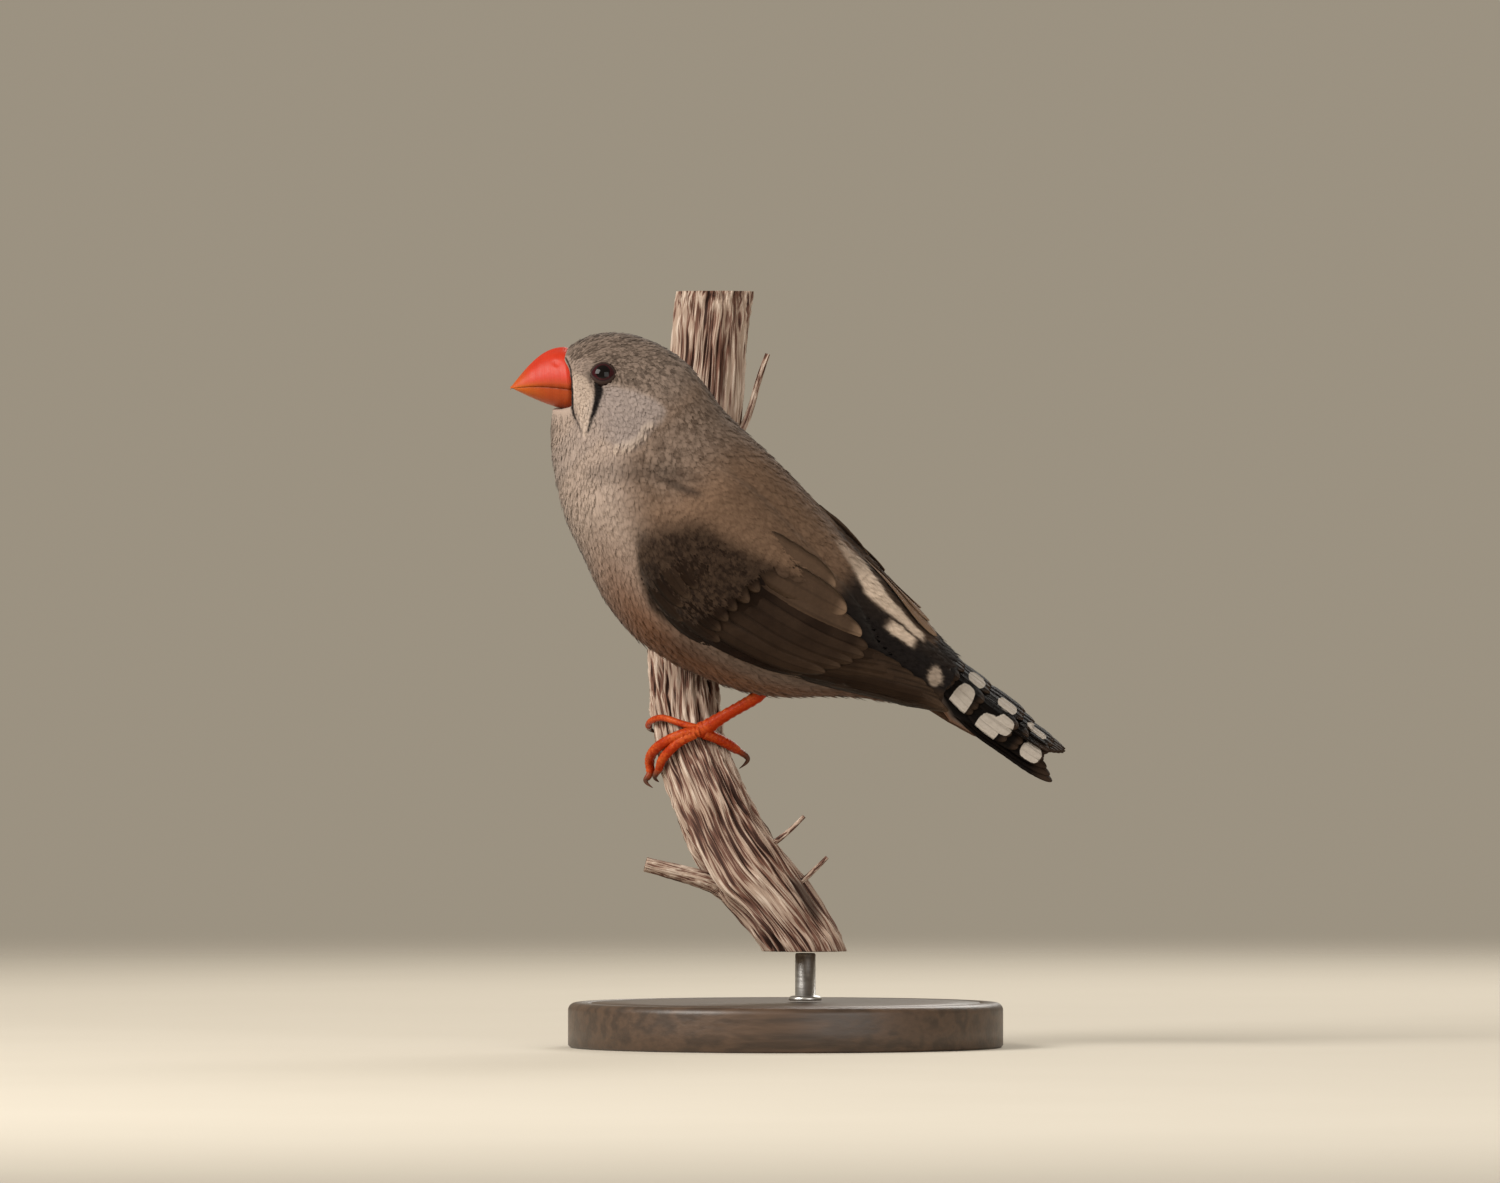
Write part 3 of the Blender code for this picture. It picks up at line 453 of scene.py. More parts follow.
SCAPULAR_EDGE = ((6.0, 6.6, 7.2, 7.8, 8.5, 9.3, 9.95, 10.6), (56, 62, 61, 54, 46, 38, 32, 28))
WING_FRONT = ((55, 64, 78, 91, 98, 104, 110, 116, 122), (6.9, 6.65, 6.30, 6.10, 6.05, 6.2, 6.5, 6.9, 7.5))
RUMP_EDGE = ((8.3, 8.6, 9.0, 9.5, 9.9, 10.4, 10.9, 12.0), (-8, 4, 7, 12, 18, 17, 15.2, 15.2))
FAR_EDGE = ((8.2, 9.2, 10.45, 11.98, 12.6), (-16, -11, 1, 6, 8))


def line_distance(t, angle, path):
    """Distance in millimetres beyond a line's own half width, on whichever side of the head."""
    read = np.linspace(0, len(path) - 1, 8 * len(path))
    row = np.stack([np.interp(read, np.arange(len(path)), path[:, i]) for i in range(3)], 1)
    at_t, at_angle = row[:, 0], np.radians(row[:, 1])
    along, around = body_frame(at_t, at_angle)[2:]
    flat_t, flat_angle = np.ravel(t), np.abs(np.ravel(angle))
    best = np.full(flat_t.shape, 99.0)
    for i in range(len(row)):
        gap = (flat_t - at_t[i])[:, None] * along[i] + (flat_angle - at_angle[i])[:, None] * around[i]
        best = np.minimum(best, np.linalg.norm(gap, axis=1) - row[i, 2])
    return best.reshape(np.shape(t))


def markings(t, angle):
    """Shares of black, white and crown; of cheek, back and buff; and of the wing's brown, at each place."""
    t, angle = np.broadcast_arrays(np.asarray(t, float), np.asarray(angle, float))
    signed = np.degrees(angle)
    side = np.abs(signed)
    black, white = np.zeros(t.shape), np.zeros(t.shape)
    front = t < 3.6
    if front.any():
        at, turn = t[front], angle[front]
        white[front] = 0.34 * (1 - step_up(line_distance(at, turn, WHITE_BAND), -0.25, 0.30))
        lines = np.minimum(line_distance(at, turn, TEAR), line_distance(at, turn, BILL_LINE))
        black[front] = 1 - step_up(lines, -0.10, 0.14)
        smudge = 0.5 * (1 - step_up(line_distance(at, turn, SMUDGE), -0.35, 0.45))
        black[front] = np.maximum(black[front], smudge)
    neck = (t > 3.8) & (t < 6.8)
    if neck.any():
        # Painted shade along the neck's crease, and a painted shadow in the cleft before the wing.
        crease_shade = 0.34 * (1 - step_up(line_distance(t[neck], angle[neck], CREASE_SHADE), -0.6, 2.2))
        crevice_shadow = 0.7 * (1 - step_up(line_distance(t[neck], angle[neck], CREVICE_SHADOW), -0.5, 0.9))
        black[neck] = np.maximum(crease_shade, crevice_shadow)
    edge = np.interp(t, *CROWN_EDGE)
    crown = (1 - step_up(side, edge - 3, edge + 4)) * (1 - step_up(t, 3.6, 5.4))
    lore = 0.50 * (1 - step_up(side, 80, 98)) * (1 - step_up(t, 2.3, 2.8))
    nape = 0.75 * step_up(t, 4.1, 4.8) * (1 - step_up(t, 5.3, 6.6)) * (1 - step_up(side, 66, 104))
    crown = np.maximum(crown, np.maximum(lore, nape))
    rear = np.interp(side, *CHEEK_REAR)
    cheek = step_up(side, edge - 1, edge + 4) * step_up(t, 2.3, 2.6)
    cheek = cheek * (1 - step_up(t, rear - 0.16, rear + 0.12))
    cheek = cheek * (1 - 0.6 * step_up(side, 86, 106))
    back_edge = np.interp(t, (3.4, 4.4, 5.0, 6.0, 7.0, 8.0), (60, 84, 92, 100, 106, 108))
    back = step_up(t, 3.4, 4.8) * (1 - step_up(side, back_edge - 20, back_edge + 14)) * (1 - cheek)
    buff = step_up(side, 94, 132) * step_up(t, 5.0, 8.2)
    lower = np.degrees(wing_edges(t)[1]) + np.interp(t, (6.0, 6.6, 7.1, 7.6, 8.2, 9.0), (0, 1, 4, 7, 4, 0))
    scapular = np.interp(t, *SCAPULAR_EDGE)
    start = np.interp(side, *WING_FRONT)
    wing = step_up(side, scapular - 5, scapular + 7) * (1 - step_up(side, lower - 5, lower + 3))
    wing = wing * step_up(t, start - 0.20, start + 0.60)
    far_edge = np.interp(t, *FAR_EDGE)
    far = (1 - step_up(signed, far_edge - 2.5, far_edge + 0.5)) * step_up(t, 8.1, 8.6)
    wing = np.maximum(wing, 0.75 * far)
    rump_edge = np.interp(t, *RUMP_EDGE)
    rump = (1 - step_up(side, rump_edge - 2, rump_edge + 2.5)) * (1 - step_up(t, 11.8, 12.05))
    rump = rump * (0.45 * step_up(t, 8.3, 8.9) + 0.55 * step_up(t, 9.0, 9.6))
    outer = step_up(side, 17.5, 19.5) * (1 - step_up(side, 30, 34)) * step_up(t, 10.7, 10.95)
    rump = np.maximum(rump, outer * (1 - step_up(t, 11.6, 11.85)))
    spot = 0.66 * (1 - step_up(np.hypot((t - 12.66) / 0.27, (side - 52) / 19), 0.8, 1.1)) * (t > 12.0)
    rump = np.maximum(rump, spot) * (1 - far * (t < 12.2))
    dark = 0.94 * step_up(t, 9.0, 9.7) * (1 - step_up(side, 62, 84)) * (1 - far * (t < 12.4))
    # Painted shade: a dark band just below the wing's lower edge.
    shade = step_up(side, lower - 4, lower + 5) * (1 - step_up(side, lower + 12, lower + 34))
    dark = np.maximum(dark, 0.42 * shade * step_up(t, 7.6, 8.6))
    white = np.maximum(white, rump)
    black = np.maximum(black, dark * (1 - rump))
    return {"lines": np.stack([black, white, crown], -1), "areas": np.stack([cheek, back, buff], -1),
            "wing": wing[..., None]}


print("share of black on the tear streak:", markings(2.7, math.radians(89))["lines"][0])

# %% [markdown]
# Plumage has one material for the skin and all the small feathers. It blends the colours of breast,
# crown, cheek, back and belly by the stored shares, then varies them: every feather has its own tone,
# soft noise mottles the whole bird, and a feather is darker towards its root and along its shaft.

# %% Plumage material
BREAST, CROWN, CROWN_DARK = (0.375, 0.292, 0.245), (0.245, 0.184, 0.148), (0.088, 0.064, 0.050)
CHEEK, BACK, BACK_DARK = (0.300, 0.245, 0.222), (0.185, 0.114, 0.073), (0.120, 0.072, 0.046)
# The belly's buff colour here is darkened with painted shade for the underside.
SHADED_BUFF, WHITE, BLACK = (0.152, 0.056, 0.018), (0.720, 0.580, 0.470), (0.008, 0.006, 0.006)
WING_SOFT, WING_SOFT_DARK = (0.050, 0.030, 0.019), (0.014, 0.007, 0.004)


def plumage_finish():
    """Colours mixed by the stored shares; tone from feather, noise and distance from the root."""
    made = Finish("plumage", Roughness=0.78, Sheen_Weight=0.10, Sheen_Roughness=0.45)
    made.shader.inputs["Specular IOR Level"].default_value = 0.1
    fine, broad = made.noise(2.2, 5.0), made.noise(0.16, 3.0)
    tone, reach, shaft = made.kept("feather", 0), made.kept("feather", 1), made.kept("feather", 2)
    scales = (fine * 0.6 + tone * 0.5).rise(0.35, 0.85)
    colour = made.mix(made.kept("areas", 2) * 0.92, BREAST, SHADED_BUFF)
    colour = made.mix(made.kept("areas", 1), colour, made.mix(scales * 0.7, BACK, BACK_DARK))
    colour = made.mix(made.kept("areas", 0), colour, CHEEK)
    colour = made.mix(made.kept("lines", 2), colour, made.mix(scales, CROWN, CROWN_DARK))
    colour = made.mix(made.kept("wing"), colour, made.mix(scales, WING_SOFT, WING_SOFT_DARK))
    colour = made.mix(made.kept("lines", 1), colour, WHITE)
    colour = made.mix(made.kept("lines", 0), colour, BLACK)
    light = 0.88 + reach * 0.14 + (tone - 0.5) * 0.12 + (fine - 0.5) * 0.20 + (broad - 0.5) * 0.20
    made.feed(Base_Color=made.shade(colour, light - shaft * 0.05))
    made.feed(Roughness=0.70 + fine * 0.2)
    made.bump(fine, 0.02)
    return made.material


PLUMAGE = plumage_finish()
print("plumage blends", len(PLUMAGE.node_tree.nodes), "nodes")

# %% [markdown]
# The skin lies under the small feathers, by a little more than half of the coat's depth, and the
# feathers' roots are sunk into it. The coat is thin on the face and deeper on the body. The skin dips
# into a socket round each eye, so that the eyeball sits in the head and not on it.

# %% Eyes' places and the coat's depth
EYE_RADIUS, EYE_STATION, EYE_ANGLE, EYE_DEPTH = 2.3, 2.2, math.radians(69.5), 1.15
SIDES = {"left": 1, "right": -1}


def eye_place(side):
    """Middle of the eyeball and its directions: forward, up and out of the head."""
    surface, out = (np.asarray(v) for v in body_frame(EYE_STATION, side * EYE_ANGLE)[:2])
    forward = unit(np.cross(out, (0, 0, 1)))
    return surface - EYE_DEPTH * out, np.array([forward, np.cross(out, forward), out])


def eye_offset(t, angle):
    """Distance across and along the head's surface from the nearer eye, in millimetres."""
    along, around = (np.linalg.norm(v) for v in body_frame(EYE_STATION, EYE_ANGLE)[2:])
    return (np.abs(angle) - EYE_ANGLE) * around, (t - EYE_STATION) * along


def past_bill(t, angle):
    """Stations behind the bill's feathered edge; negative in front of it."""
    return t - np.interp(np.degrees(np.abs(angle)), *BILL_EDGE)


def coat_depth(t, angle):
    """Depth of the small feathers: thin on the face, thicker from the neck back."""
    side = np.degrees(np.abs(angle))
    face = 0.22 + 0.06 * step_up(t, 1.8, 3.2)
    return face + 0.17 * step_up(t, 2.8, 5.6) + 0.12 * step_up(side, 110, 150) * step_up(t, 5, 8)


def taper(t, angle):
    """How far the face sinks towards the sides of the bill, less a low brow that lifts it to the lid."""
    side = np.degrees(np.abs(angle))
    sides = step_up(side, 45, 80) * (1 - step_up(side, 104, 120))
    brow = 0.28 * (1 - step_up(np.hypot(*eye_offset(t, angle)), 1.8, 3.2))
    return 0.75 * sides * (1 - step_up(past_bill(t, angle), 0.0, 1.5)) - brow


def skin_shape(rows=300, sides=180):
    """Plumage surface sunk by the coat's depth, with a round socket at each eye and domed ends."""
    t = np.broadcast_to(np.linspace(0.0, 13.0, rows)[:, None], (rows, sides))
    angle = np.broadcast_to((np.arange(sides) * TAU / sides - math.pi)[None, :], (rows, sides))
    across, along = eye_offset(t, angle)
    reach = np.hypot(across, along) / 1.9
    socket = (EYE_DEPTH + 0.45) * np.sqrt(np.clip(1 - reach ** 4, 0, 1))
    seat = 2.6 * (1 - step_up(past_bill(t, angle), -0.40, -0.02))
    rings = body_offset(t, angle, -0.6 * coat_depth(t, angle) - taper(t, angle) - socket - seat)
    caps = []
    for row, inner in ((0, 1), (-1, -2)):
        centre = rings[row].mean(0)
        axis = unit(centre - rings[inner].mean(0))
        steps = np.linspace(0, math.pi / 2, 6)[1:-1]
        caps.append([centre + (rings[row] - centre) * math.cos(a) + axis * 1.2 * math.sin(a) for a in steps])
    rings = np.concatenate([caps[0][::-1], rings, caps[1]])
    t, angle = (np.concatenate([np.repeat(v[:1], 4, 0), v, np.repeat(v[-1:], 4, 0)]) for v in (t, angle))
    feather = np.stack([0 * t + 0.5, 0 * t + 0.5, 0 * t], -1)
    shape = tube_shape(rings, {**markings(t, angle), "feather": feather})
    shape["maps"] = {"OFBake": shape["maps"]["UVMap"]}
    return shape


make_piece("skin", skin_shape(), PLUMAGE, ("head", "neck", "torso"))

# %% [markdown]
# Small body feathers are the coat. One feather is a thin cupped vane with a fan of fine barbs that
# stand free at its rounded tip, about sixty triangles in all. Its points are worked out flat, in
# millimetres across, along and up, and then wrapped onto the body by station and angle, so that every
# feather bends with the body. Roots are sunk to the skin, and tips lie on the feathers behind.

# %% One small feather
VANE_ROWS = 3
BARBS = 10


def feather_faces():
    """Faces of one feather: a four-sided vane to a point, then barbs with three sides and one end."""
    tip = VANE_ROWS * 4
    faces = [grid_faces(VANE_ROWS, 4), np.array([[3, 2, 1, 0]]), fan(np.arange(tip - 4, tip), tip)]
    for start in tip + 1 + 4 * np.arange(BARBS):
        faces.append(fan(start + np.arange(3), start + 3))
        faces.append(np.array([[start + 2, start + 1, start, -1]]))
    return np.concatenate(faces)


FEATHER_FACES = feather_faces()
FEATHER_POINTS = VANE_ROWS * 4 + 1 + BARBS * 4


def outline(s):
    """Half width of a feather along it, as a share: it widens to 60 percent and ends in a half round."""
    s = np.asarray(s, float)
    widen = 0.35 + 0.65 * np.sin(np.clip(s / 0.6, 0, 1) * math.pi / 2)
    return widen * np.sqrt(np.clip(1 - np.clip((s - 0.6) / 0.4, 0, 1) ** 2, 0, 1))


def flat_feathers(length, width, depth, rise, draw):
    """Flat points of many feathers: across, along, up, share of the way to the tip, and under or over."""
    count = len(length)
    length, width, depth, rise = (v[:, None] for v in (length, width, depth, rise))

    def lift(s):
        return -depth + (depth + rise) * np.clip(s, 0, 1.2) ** 0.8

    s = np.broadcast_to(np.array([0.0, 0.5, 0.85]), (count, VANE_ROWS))
    half = width / 2 * outline(s)
    thick, middle, cup = 0.04 + 0.03 * (1 - s), lift(s), 0.12 * half
    x = np.stack([-half, 0 * half, half, 0 * half], -1).reshape(count, -1)
    y = np.repeat(length * s, 4, axis=1)
    z = np.stack([middle - cup, middle + thick, middle - cup, middle - thick], -1).reshape(count, -1)
    x, y, z = np.hstack([x, 0 * length]), np.hstack([y, length]), np.hstack([z, lift(np.ones((count, 1)))])

    order = np.arange(BARBS)
    side = np.where(order % 2 == 0, 1.0, -1.0)
    from_s = 0.30 + 0.66 * order / (BARBS - 1) + draw.uniform(-0.05, 0.05, (count, BARBS))
    lean = np.radians(38) * (1 - 0.75 * from_s) + draw.uniform(-0.14, 0.14, (count, BARBS))
    run = length * (0.40 - 0.12 * from_s) * draw.uniform(0.7, 1.2, (count, BARBS))
    root_x, root_y = side * 0.3 * width / 2 * outline(from_s), length * from_s
    barb_half = 0.045 + 0.025 * width
    ax, ay = np.cos(lean) * barb_half, -side * np.sin(lean) * barb_half
    over = draw.uniform(0.01, 0.06, (count, BARBS))
    root_z = lift(from_s) + over
    end_x, end_y = root_x + side * np.sin(lean) * run, root_y + np.cos(lean) * run
    end_z = lift(end_y / length) + over - 0.12 * np.abs(end_x)
    bx = np.stack([root_x - ax, root_x + ax, root_x, end_x], -1).reshape(count, -1)
    by = np.stack([root_y - ay, root_y + ay, root_y, end_y], -1).reshape(count, -1)
    bz = np.stack([root_z, root_z, root_z - 0.06, end_z], -1).reshape(count, -1)
    x, y, z = np.hstack([x, bx]), np.hstack([y, by]), np.hstack([z, bz])
    return x, y, z, np.clip(y / length, 0, 1)


print("one small feather has", int((FEATHER_FACES >= 0).sum() - 2 * len(FEATHER_FACES)), "triangles")

# %% [markdown]
# Feathers are set evenly over an area by a low-discrepancy sequence, which avoids both a grid's rows
# and the clumps of chance. They lie from bill to tail, and round the eye they part and close again as
# water does round a post.

# %% Setting feathers on the body
GOLDEN = np.array([0.7548776662466927, 0.5698402909980532])


def scatter(t_range, side_range, spacing, draw):
    """Even places in a strip of the body: shares of its area mapped back to station and angle."""
    cells = 160
    t = np.linspace(*t_range, cells)
    angle = np.radians(np.linspace(*side_range, cells))
    t_grid, angle_grid = np.meshgrid(t, angle, indexing="ij")
    along, around = body_frame(t_grid, angle_grid)[2:]
    weight = np.linalg.norm(np.cross(along, around), axis=-1) / spacing(t_grid, angle_grid) ** 2
    area = weight.sum() * (t[1] - t[0]) * (angle[1] - angle[0])
    count = int(abs(area))
    share = (draw.random(2) + np.arange(1, count + 1)[:, None] * GOLDEN) % 1
    rows = np.cumsum(weight.sum(1)) / weight.sum()
    at_row = np.interp(share[:, 0], rows, np.arange(cells))
    lines = np.cumsum(weight, 1) / weight.sum(1, keepdims=True)
    chosen = lines[np.clip(at_row.round().astype(int), 0, cells - 1)]
    at_side = (chosen < share[:, 1:]).sum(1) + draw.random(count) - 0.5
    place_t = np.interp(at_row, np.arange(cells), t) + draw.normal(0, 0.008, count)
    return place_t, np.interp(at_side, np.arange(cells), angle)


def eye_flow(t, angle):
    """Turn of the lie round the eye: the direction of a stream that parts round a post."""
    across, along = eye_offset(t, angle)
    far = np.maximum(np.hypot(across, along), 1.0)
    bulk = 1.75 ** 2 / far ** 4
    return np.arctan2(-2 * bulk * across * along, 1 - bulk * (along ** 2 - across ** 2)) * np.sign(angle)


STEEPEST = 0.8                             # the wing's slope is read no steeper than this


def slope_of_wing(t, angle, here, along, around):
    """What the wing's swelling adds to the surface normal: minus its slope along and around the body."""
    step, tilt = 0.04, 0.0
    for ahead, aside, way in ((step, 0.0, along), (0.0, step, around)):
        reach = np.linalg.norm(way, axis=-1, keepdims=True)
        rise = (wing_swelling(t + ahead, angle + aside) - here)[..., None] / (step * reach)
        tilt = tilt - np.clip(rise, -STEEPEST, STEEPEST) * way / reach
    return tilt


def plumes(t, angle, turn, length, width, depth, rise, draw, pale=0.0):
    """Shape of many small feathers wrapped onto the body and over the wings, their tips paler if wanted."""
    per_t, per_angle = (np.linalg.norm(v, axis=-1)[:, None] for v in body_frame(t, angle)[2:])
    x, y, z, s = flat_feathers(length, width, depth, rise, draw)
    cos, sin = np.cos(turn)[:, None], np.sin(turn)[:, None]
    at_t = t[:, None] + (y * cos - x * sin) / per_t
    at_angle = angle[:, None] + (y * sin + x * cos) / per_angle
    at_t = np.clip(at_t, 0.0, LAST_STATION)
    swelling = wing_swelling(at_t, at_angle)
    point, normal, along, around = body_frame(at_t, at_angle)
    points = point + (z + swelling - taper(at_t, at_angle))[..., None] * normal
    fields = markings(at_t, at_angle)
    fields["lines"][..., 1] = np.maximum(fields["lines"][..., 1], pale * step_up(s, 0.3, 0.8))
    tone = np.broadcast_to(draw.random(len(t))[:, None], x.shape)
    ahead, across = unit(along), unit(around)
    bend = (0.55 * x / width[:, None])[..., None] * across + (0.45 * (s - 0.55))[..., None] * ahead
    normals = unit(normal + bend + slope_of_wing(at_t, at_angle, swelling, along, around))
    shaft = 1 - step_up(np.abs(x), 0.0, 0.12 * width[:, None])
    feather = np.stack([tone, s, shaft], -1)
    count = len(t)
    faces = np.broadcast_to(FEATHER_FACES, (count, *FEATHER_FACES.shape))
    starts = (np.arange(count) * FEATHER_POINTS)[:, None, None]
    faces = np.where(faces < 0, -1, faces + starts).reshape(-1, 4)
    root = np.stack([t / LAST_STATION, angle / TAU + 0.5], -1)[:, None, :]
    patch = np.stack([y / length[:, None] - 0.5, x / width[:, None]], -1) * 0.003
    corner = (root + patch).reshape(-1, 2)[np.where(faces < 0, 0, faces)]
    fields["feather"] = feather
    fields = {name: values.reshape(-1, values.shape[-1]) for name, values in fields.items()}
    return outwards({"points": points.reshape(-1, 3), "faces": faces, "maps": {"OFBake": corner},
                     "fields": fields, "normals": normals.reshape(-1, 3)})


# %% [markdown]
# The coat is laid area by area. Each area has its own spacing, length and width: less than a millimetre
# long on the lores, and about three millimetres on breast, mantle and belly. A piece of the coat stays
# under two hundred thousand triangles.

# %% The coat
COAT = {
    # name: stations, angles in degrees, spacing, length, width, rise of the tip, turn in degrees
    "lores": ((0.0, 2.75), (36, 122), 0.42, 0.95, 0.55, 0.02, 0),
    "crown": ((0.0, 3.4), (-44, 44), 0.52, 1.45, 0.84, 0.05, 0),
    "chin": ((0.0, 2.9), (118, 242), 0.58, 1.35, 0.86, 0.05, 0),
    "cheek": ((2.70, 4.4), (44, 122), 0.50, 1.55, 0.86, 0.05, 0),
    "nape": ((3.35, 5.0), (-46, 46), 0.62, 2.1, 1.15, 0.06, 0),
    "throat": ((2.85, 5.0), (118, 242), 0.68, 2.2, 1.25, 0.06, 0),
    "neck": ((4.30, 6.05), (40, 112), 0.64, 2.3, 1.25, 0.07, 0),
    "breast": ((4.90, 7.6), (100, 260), 0.72, 2.7, 1.5, 0.06, 0),
    "mantle": ((4.90, 8.9), (-54, 54), 0.76, 2.8, 1.55, 0.07, 0),
    "belly": ((7.55, 12.3), (96, 264), 0.86, 3.2, 1.75, 0.10, 0),
    "rump": ((8.6, 12.75), (-60, 60), 0.78, 2.9, 1.6, 0.08, 0),
}
BOTH_SIDES = ("lores", "cheek", "neck")


def coat_shape(title, draw):
    """All feathers of one area, left out where the bill, the eyes or the closed wings are."""
    t_range, angles, spacing, length, width, rise, turn = COAT[title]
    places = [scatter(t_range, angles, lambda t, a: spacing, draw)]
    if title in BOTH_SIDES:
        places.append(scatter(t_range, (-angles[0], -angles[1]), lambda t, a: spacing, draw))
    t, angle = (np.concatenate(v) for v in zip(*places))
    angle = (angle + math.pi) % TAU - math.pi
    across, along = eye_offset(t, angle)
    eye_gap = np.hypot(across, along)
    keep = (eye_gap > 1.80) & (past_bill(t, angle) > 0.03)
    upper, lower = wing_edges(t)
    under_wing = (np.abs(angle) > upper + 0.10) & (np.abs(angle) < lower - 0.02) & (t > 7.0)
    keep &= ~under_wing
    t, angle, eye_gap = t[keep], angle[keep], eye_gap[keep]
    count = len(t)
    scale = draw.uniform(0.85, 1.15, count) * np.clip(0.50 + (eye_gap - 1.8) * 0.35, 0.50, 1)
    turns = np.radians(turn) * np.sign(angle) + eye_flow(t, angle) + draw.normal(0, 0.10, count)
    rises = rise * (0.4 + 3.2 * draw.random(count) ** 4)
    return plumes(t, angle, turns, length * scale, width * scale, coat_depth(t, angle), rises, draw)


def ruffle_shape(draw):
    """Loose pale feathers that stand up along the lower rear edge of the cheek, on both sides."""
    shapes = []
    for side in (1, -1):
        place = draw.uniform(0, 1, 34)
        angle = np.interp(place, (0, 0.35, 1), (61, 72, 90)) + draw.normal(0, 1.2, 34)
        t = np.interp(angle, CHEEK_REAR[0], CHEEK_REAR[1]) - 0.30 + draw.normal(0, 0.05, 34)
        turn = side * (0.55 + draw.normal(0, 0.12, 34))
        length, width = draw.uniform(1.4, 2.1, 34), draw.uniform(0.8, 1.05, 34)
        shapes.append(plumes(t, side * np.radians(angle), turn, length, width, np.full(34, 0.2),
                             draw.uniform(0.15, 0.40, 34), draw, 0.26))
    return joined(shapes)


coat_draw = np.random.default_rng(7)
for title in COAT:
    make_piece("coat_" + title, coat_shape(title, coat_draw), PLUMAGE)
make_piece("coat_ruffle", ruffle_shape(coat_draw), PLUMAGE)

# %% [markdown]
# Long feathers of the wing and tail are modelled one by one: a cambered vane with a raised shaft, thin
# at both edges, and a rounded or pointed tip. The cross-section has ten points, and many feathers
# become one mesh.

# %% One long feather
SECTION_ACROSS = np.array([-1.0, -0.55, -0.10, 0.0, 0.10, 0.55, 1.0, 0.55, 0.0, -0.55])
SECTION_UPPER = np.array([0.0, 0.5, 0.75, 1.6, 0.75, 0.5, 0.0, -0.6, -1.0, -0.6])


def long_feather(centre, side, normal, half, thick, camber, tone, rim, draw):
    """Closed vane along a line of centres: sections of ten points that shrink to a point."""
    rows = len(centre)
    frayed = 1 + draw.uniform(-0.035, 0.02, (rows, 1)) * (np.abs(SECTION_ACROSS) > 0.9)
    x = half[:, None] * SECTION_ACROSS * frayed
    z = thick * SECTION_UPPER - camber * SECTION_ACROSS ** 2 * half[:, None]
    rings = centre[:, None] + x[..., None] * side[:, None] + z[..., None] * normal[:, None]
    run = np.concatenate([[0], np.cumsum(np.linalg.norm(np.diff(centre, axis=0), axis=1))])
    barb = run[:, None] - 1.25 * np.abs(x)
    share = np.broadcast_to((run / run[-1])[:, None], x.shape)
    across = np.broadcast_to(SECTION_ACROSS, x.shape)
    feather = np.stack([np.full(x.shape, tone), share, np.abs(across)], -1)
    detail = np.stack([barb, np.full(x.shape, rim), across], -1)
    return tube_shape(rings, {"feather": feather, "detail": detail})


def long_outline(s, tip, pinch):
    """Half width along a long feather, as a share: narrow at the root, then even, then a rounded tip."""
    root = pinch + (1 - pinch) * step_up(s, 0.0, 0.3)
    return root * np.sqrt(np.clip(1 - np.clip((s - 1 + tip) / tip, 0, 1) ** 2.2, 0.0004, 1))


# %% [markdown]
# The folded wing is built in its real tiers. Long primaries run to the tip, secondaries lie over them,
# and three broad tertials cover both near the back. Above them come the greater, median and lesser
# coverts and the scapulars, each row over the roots of the next.

# %% The wings' tables
PRIMARY_TIPS = np.array([[11.3, 60], [11.9, 65], [12.5, 75], [12.95, 86], [13.3, 97], [13.35, 107]])
PRIMARY_ROOTS = np.array([[8.3, 84], [8.4, 88], [8.5, 92], [8.6, 95], [8.7, 97], [8.8, 99]])
SECONDARY_TIPS = np.array([[10.75, 56], [10.75, 65], [10.6, 75], [10.4, 85], [10.1, 95]])
SECONDARY_ROOTS = np.array([[7.6, 70], [7.5, 78], [7.4, 86], [7.3, 96], [7.3, 105]])
TERTIALS = np.array([
    # root station and angle, tip station and angle, width, lift at root and tip
    [7.4, 50, 9.30, 34, 5.4, 1.75, 1.95],
    [7.6, 58, 9.80, 41, 5.5, 1.6, 1.75],
    [7.8, 66, 10.40, 49, 5.4, 1.45, 1.55],
])
FREE = 9.0                                 # a height that holds no feather down
WING_TIERS = {                             # how far above the swelling each kind may lie
    "primary": -0.30, "secondary": -0.15, "greater": 0.0, "median": 0.12, "upper": -0.04,
    "tertial": FREE, "far": FREE,
}
WING_TONES = {                             # 0 is the darkest brown and 1 the lightest
    "primary": 0.09, "secondary": 0.04, "greater": 0.0, "median": 0.02, "upper": 0.42,
    "tertial": 0.30, "far": 0.95,
}
ROOT_SINK = 0.55                           # a root lies this much deeper than its vane


def wing_feather(root, tip, width, lifts, side, draw, kind, rim, tip_share=0.30, rows=18, lean=4.0):
    """Long feather along the body between two places, its lower edge raised a little by the lean."""
    s = np.sin(np.linspace(0, math.pi / 2, rows))
    t = root[0] + (tip[0] + draw.uniform(-0.03, 0.03) - root[0]) * s
    angle = np.radians(root[1] + (tip[1] + draw.uniform(-0.6, 0.6) - root[1]) * s) * side
    lift = lifts[0] + (lifts[1] - lifts[0]) * s + draw.uniform(-0.03, 0.03)
    lift = np.minimum(lift, wing_swelling(t, angle) + WING_TIERS[kind] + 0.45 * step_up(t, 8.5, 10.5))
    lift = lift - ROOT_SINK * (1 - step_up(s, 0.10, 0.55))
    point, normal = body_frame(t, angle)[:2]
    centre = point + lift[:, None] * normal
    along = unit(np.gradient(centre, axis=0))
    across = unit(np.cross(normal, along))
    tilt = math.radians(lean) * side
    turned = math.cos(tilt) * across + math.sin(tilt) * normal
    normal = math.cos(tilt) * normal - math.sin(tilt) * across
    half = width / 2 * long_outline(s, tip_share, 0.45)
    tone = WING_TONES[kind] + draw.uniform(-0.06, 0.06)
    return long_feather(centre, turned, normal, half, 0.09, 0.10, tone, rim, draw)


